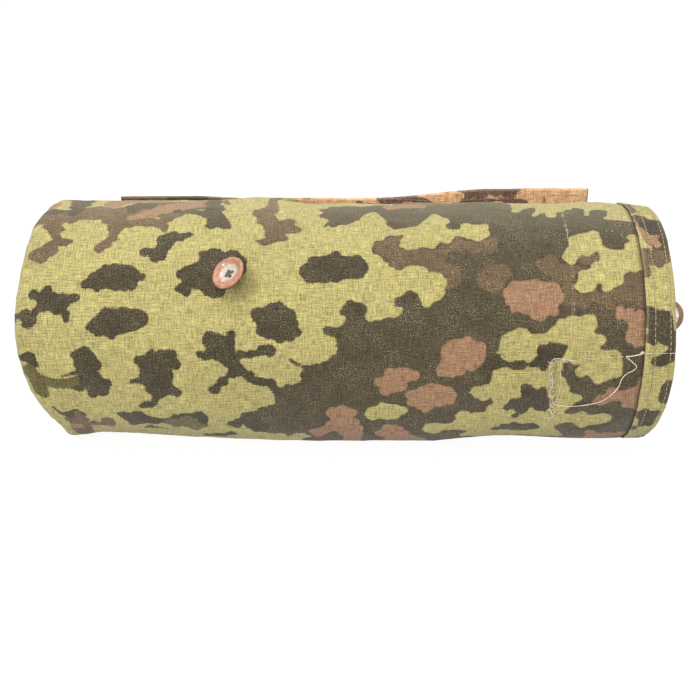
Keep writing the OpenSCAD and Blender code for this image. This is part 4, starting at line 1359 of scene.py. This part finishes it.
def make_flap():
    rows, columns = flap.points.shape[:2]
    faces = grid_faces(rows, columns, flip=True)
    far = (rows - 1) * columns
    for a in range(columns // 2):                           # closes the two cut ends
        b = columns - 1 - a
        near_end = (a, a + 1, b - 1, b) if b - 1 > a + 1 else (a, a + 1, b)
        faces.append(near_end)
        faces.append(tuple(far + t for t in near_end[::-1]))
    for a in range(0, far, columns):                        # and the sewn edge
        faces.append((a, a + columns - 1, a + 2 * columns - 1, a + columns))
    obj = mesh_object("flap_cloth", flap.points.reshape(-1, 3), faces)
    uu, vv = np.meshgrid(flap.u, flap.v, indexing="ij")
    finish_flap_piece(obj, uu, vv, 0.2 * bell(vv, 0, 0.8), "flap_panel")
    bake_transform(obj)
    return obj


def flap_layer(name, x, depths, side, top, node):
    """A turned-over layer of the flap: side -1 is on its front, 1 on its back."""
    near, deep = depths
    depth = np.concatenate([[near + 0.1, near, near + 0.2], np.linspace(near, deep, 9)[1:-1],
                            [deep - 0.2, deep, deep - 0.1]])
    lift = np.array([-0.1, top / 2, top] + [top] * 7 + [top, top / 2, -0.1])
    uu, vv = np.meshgrid(x, side * depth, indexing="ij")
    points = flap.at(uu, vv)
    points[..., 1] += side * lift
    obj = mesh_object(name, points.reshape(-1, 3), ribbon_faces(*uu.shape, flip=side > 0))
    finish_flap_piece(obj, uu, vv, 0.15 * bell(vv, side * near, 0.5), node)
    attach(obj, "rear_flap")
    return obj


def hem_line(x):
    """Depth of the hem's stitching below the top edge on the front."""
    return 0.7 + 4.5 * smoothstep(20, 62, x) - 1.9 * smoothstep(66, 132, x)


def stitch_spans(at, end, lengths, gaps, rng):
    """Seven places along each stitch of a row that runs from at to end."""
    while at < end:
        span = np.linspace(at, at + rng.uniform(*lengths), 7)
        yield span
        at = span[-1] + rng.uniform(*gaps)


def flap_stitch(u, v, side, height):
    """A stitch on the front (side -1) or back of the flap, standing out by height."""
    path = flap.at(u, v)
    path[:, 1] += side * (height + 0.28 * np.sin(np.linspace(0, math.pi, len(path))) ** 0.5)
    return path


def flap_stitches():
    rng = random.Random(55)
    rows, ends = [], []
    # the front of the hem where it shows, then all of its back
    for u in stitch_spans(24.0, FLAP_X1 - 3, (1.5, 2.0), (0.7, 1.0), rng):
        rows.append(flap_stitch(u, -hem_line(u), -1, 0.6))
    for u in stitch_spans(FLAP_X0 + 10, FLAP_X1 - 12, (1.8, 2.3), (0.6, 0.9), rng):
        rows.append(flap_stitch(u, 6.0 + 0 * u, 1, -0.1))
    sew("flap_hem_thread", rows, "flap_hem_stitches", 0.17, body="rear_flap")
    for x in (FLAP_X0 + 6.4, FLAP_X1 - 6.4):
        for v in stitch_spans(3.0, 42, (1.8, 2.3), (0.6, 0.9), rng):
            ends.append(flap_stitch(x + 0 * v, v, 1, 0.65))
    sew("flap_end_thread", ends, None, 0.17, body="rear_flap")


def flap_pieces():
    cloth = make_flap()
    along = np.arange(FLAP_X0 + 0.3, FLAP_X1 - 0.2, 1.5)
    facing = flap_layer("flap_hem_fold", along, (0.35, 9.4), -1, 0.7, "flap_facing")
    end = np.linspace(FLAP_X0, FLAP_X0 + 8, 7)
    left = flap_layer("flap_end_fold_left", end, (1.2, 44), 1, 0.75, "flap_end_hem_left")
    end = np.linspace(FLAP_X1 - 8, FLAP_X1, 7)
    right = flap_layer("flap_end_fold_right", end, (1.2, 44), 1, 0.75, "flap_end_hem_right")
    flap_stitches()


flap_pieces()

# ---------------------------------------------------------------- buttons
HOLE_PITCH, HOLE_R = 1.75, 0.85             # from the button's axis to its holes, and their radius
BUTTON_R = 8.5
# The dish's section, (radius, height): out along its back, over the rim and back into the hollow.
DISH = [(2.6, 0), (4.2, 0.06), (5.6, 0.45), (6.9, 0.9), (7.6, 1.15), (8.15, 1.45), (8.45, 1.85),
        (8.5, 2.2), (8.38, 2.55), (8.1, 2.85), (7.7, 3.03), (7.35, 3.08), (7.0, 3.02), (6.6, 2.85),
        (6.2, 2.5), (5.75, 2.05), (5.1, 1.65), (4.4, 1.35), (3.5, 1.14), (2.6, 1.08)]


def to_world(obj, which):
    """Moves a piece from the button's own frame, Z out of its face and Y along its rocking axis."""
    twist, rock = JOINTS[which + "_twist"], JOINTS[which + "_rock"]
    z = Vector(twist["axis"]).normalized()
    y = Vector(rock["axis"]).normalized()
    turn = Matrix((y.cross(z), y, z)).transposed().to_4x4()
    obj.data.transform(Matrix.Translation(Vector(twist["pos_m"])) @ turn)
    obj.data.update()


def lathe(name, profile, count, dents):
    """A turned dish on the button's axis, slightly beaten out of round."""
    points = []
    for r, z in profile:
        for k in range(count):
            a = 2 * math.pi * k / count
            beat = 1 + 0.006 * math.sin(3 * a + dents) + 0.004 * math.sin(7 * a + dents * 2)
            out = r / BUTTON_R
            lift = 0.10 * math.sin(2 * a + dents) * out ** 2 + 0.05 * math.sin(5 * a) * out ** 3
            points.append((r * beat * math.cos(a), r * beat * math.sin(a), z + SHANK_LEN + lift))
    return mesh_object(name, points, tube_faces(len(profile), count))


def dish_button(name, which, material, node, dents):
    """A dished metal button with four sewing holes."""
    obj = lathe(name, DISH, 96, dents)
    cutters = []
    sides = 24
    for k in range(4):
        a = math.pi / 4 + k * math.pi / 2
        x, y = HOLE_PITCH * math.cos(a), HOLE_PITCH * math.sin(a)
        points = [(x + HOLE_R * math.cos(t), y + HOLE_R * math.sin(t), SHANK_LEN + z)
                  for z in (-1, 3) for t in np.linspace(0, 2 * math.pi, sides + 1)[:-1]]
        cutters.append(mesh_object("hole", points, tube_faces(2, sides)))
        cut = obj.modifiers.new("hole", "BOOLEAN")
        cut.operation, cut.solver, cut.object = "DIFFERENCE", "EXACT", cutters[-1]
    depsgraph = bpy.context.evaluated_depsgraph_get()
    mesh = bpy.data.meshes.new_from_object(obj.evaluated_get(depsgraph))
    obj.modifiers.clear()
    obj.data = mesh
    for cutter in cutters:
        bpy.data.objects.remove(cutter)
    mesh.set_sharp_from_angle(angle=math.radians(50))
    local = np.array([v.co[:] for v in mesh.vertices]) / MM - (0, 0, SHANK_LEN)
    set_attribute(obj, "dish", local, "FLOAT_VECTOR")
    give(obj, material)
    to_world(obj, which)
    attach(obj, which + "_disc")
    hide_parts(node)


def button_thread_piece(name, paths, radius, which, body, node):
    obj = yarn(name, paths, radius, BUTTON_THREAD, sides=8)
    if which:
        to_world(obj, which)
    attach(obj, body)
    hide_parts(node)


def button_threads(which, rng):
    """Thread that crosses the hollow between the holes."""
    h = HOLE_PITCH * math.cos(math.pi / 4)
    corners = [(h, h), (-h, h), (-h, -h), (h, -h)]
    t = np.linspace(0, 1, 13)
    paths = []
    for a, b in ((0, 1), (2, 3), (1, 3), (0, 2), (2, 3), (1, 2), (0, 3)):
        p, q = np.array(corners[a]), np.array(corners[b])
        off = np.array([rng.uniform(-0.25, 0.25), rng.uniform(-0.25, 0.25)])
        flat = p + (q - p) * t[:, None] + off * np.sin(np.pi * t)[:, None]
        hump = np.sin(np.pi * t)
        rise = SHANK_LEN - 0.2 + 1.75 * hump.clip(0) ** 0.35 + rng.uniform(0, 0.25) * hump
        paths.append(np.column_stack([flat, rise]))
    button_thread_piece(which + "_cross_thread", paths, 0.28, which, which + "_disc", which + "_threads")


def button_shank(which):
    """Strands from the cloth to the holes, with a few turns wound round them."""
    paths = []
    for k in range(8):
        z = np.linspace(0.15, SHANK_LEN - 0.05, 9)
        r = 0.75 + 0.35 * ((z - 1.8) / 1.8) ** 2
        turn = math.pi / 4 * k + 0.35 * z
        paths.append(np.column_stack([r * np.cos(turn), r * np.sin(turn), z]))
    t = np.linspace(0, 5 * 2 * math.pi, 90)
    paths.append(np.column_stack([1.02 * np.cos(t), 1.02 * np.sin(t), 1.1 + 1.5 * t / t[-1]]))
    button_thread_piece(which + "_stem_thread", paths, 0.26, which, which + "_stem", which + "_shank")


def button_anchor(which, surface, u, v):
    """Small loops where the shank goes through the cloth."""
    t = np.linspace(-1, 1, 9)
    paths = []
    for k in range(5):
        a = math.pi * k / 5 + 0.2
        lift = 0.55 - 0.75 * np.abs(t) ** 2.5
        paths.append(surface.at(u + 1.1 * t * math.cos(a), v + 1.1 * t * math.sin(a), lift))
    button_thread_piece(which + "_knot", paths, 0.24, None, "muff", which + "_anchor")


def make_buttons():
    rng = random.Random(13)
    dish_button("front_button_dish", "front_button", BUTTON_PAINT, "front_button", 0.4)
    dish_button("cuff_button_dish", "cuff_button", OLD_PAINT, "cuff_button", 2.1)
    for which in ("front_button", "cuff_button"):
        button_threads(which, rng)
        button_shank(which)
    button_anchor("front_button", shell, BUTTON_X, BUTTON_ARC)
    root = Vector(JOINTS["cuff_button_twist"]["pos_m"]) / MM
    arc = math.atan2(root.z - AXIS_Z, -root.y) * SHELL_R
    column = np.argmin(np.abs(cuff.v - arc))
    in_tunnel = [k for k in range(len(cuff.u)) if cuff.u[k] > X1 + 12]
    nearest = min(in_tunnel, key=lambda k: abs(cuff.points[k, column, 0] - root.x))
    button_anchor("cuff_button", cuff, cuff.u[nearest], arc)


make_buttons()

# ---------------------------------------------------------------- stage and light
def make_stage():
    n = Nodes("floor")
    n.finish((0.08, 0.08, 0.08, 1), 0.9, Specular_IOR_Level=0.0, Emission_Color=(1, 1, 1, 1),
             Emission_Strength=0.95)
    reach = 6000
    corners = [(-reach, -reach, 0), (reach, -reach, 0), (reach, reach, 0), (-reach, reach, 0)]
    floor = mesh_object("floor", corners, [(0, 1, 2, 3)], False)
    floor.location.z = -0.0002
    give(floor, n.material)
    world = bpy.data.worlds.new("studio")
    world.use_nodes = True
    background = world.node_tree.nodes["Background"]
    background.inputs["Color"].default_value = (1, 1, 1, 1)
    background.inputs["Strength"].default_value = 1.0
    bpy.context.scene.world = world


def area_light(name, place, size, power):
    """A round soft light that faces the muff's middle."""
    light = bpy.data.lights.new(name, "AREA")
    light.shape, light.size, light.energy = "DISK", size, power
    obj = bpy.data.objects.new(name, light)
    bpy.context.scene.collection.objects.link(obj)
    obj.location = place
    obj.rotation_euler = (Vector((0, 0, 0.06)) - Vector(place)).to_track_quat("-Z", "Y").to_euler()


make_stage()
area_light("overhead", (-0.15, -0.1, 1.3), 0.8, 10)
area_light("front_left", (-0.35, -1.35, 0.65), 0.8, 12)
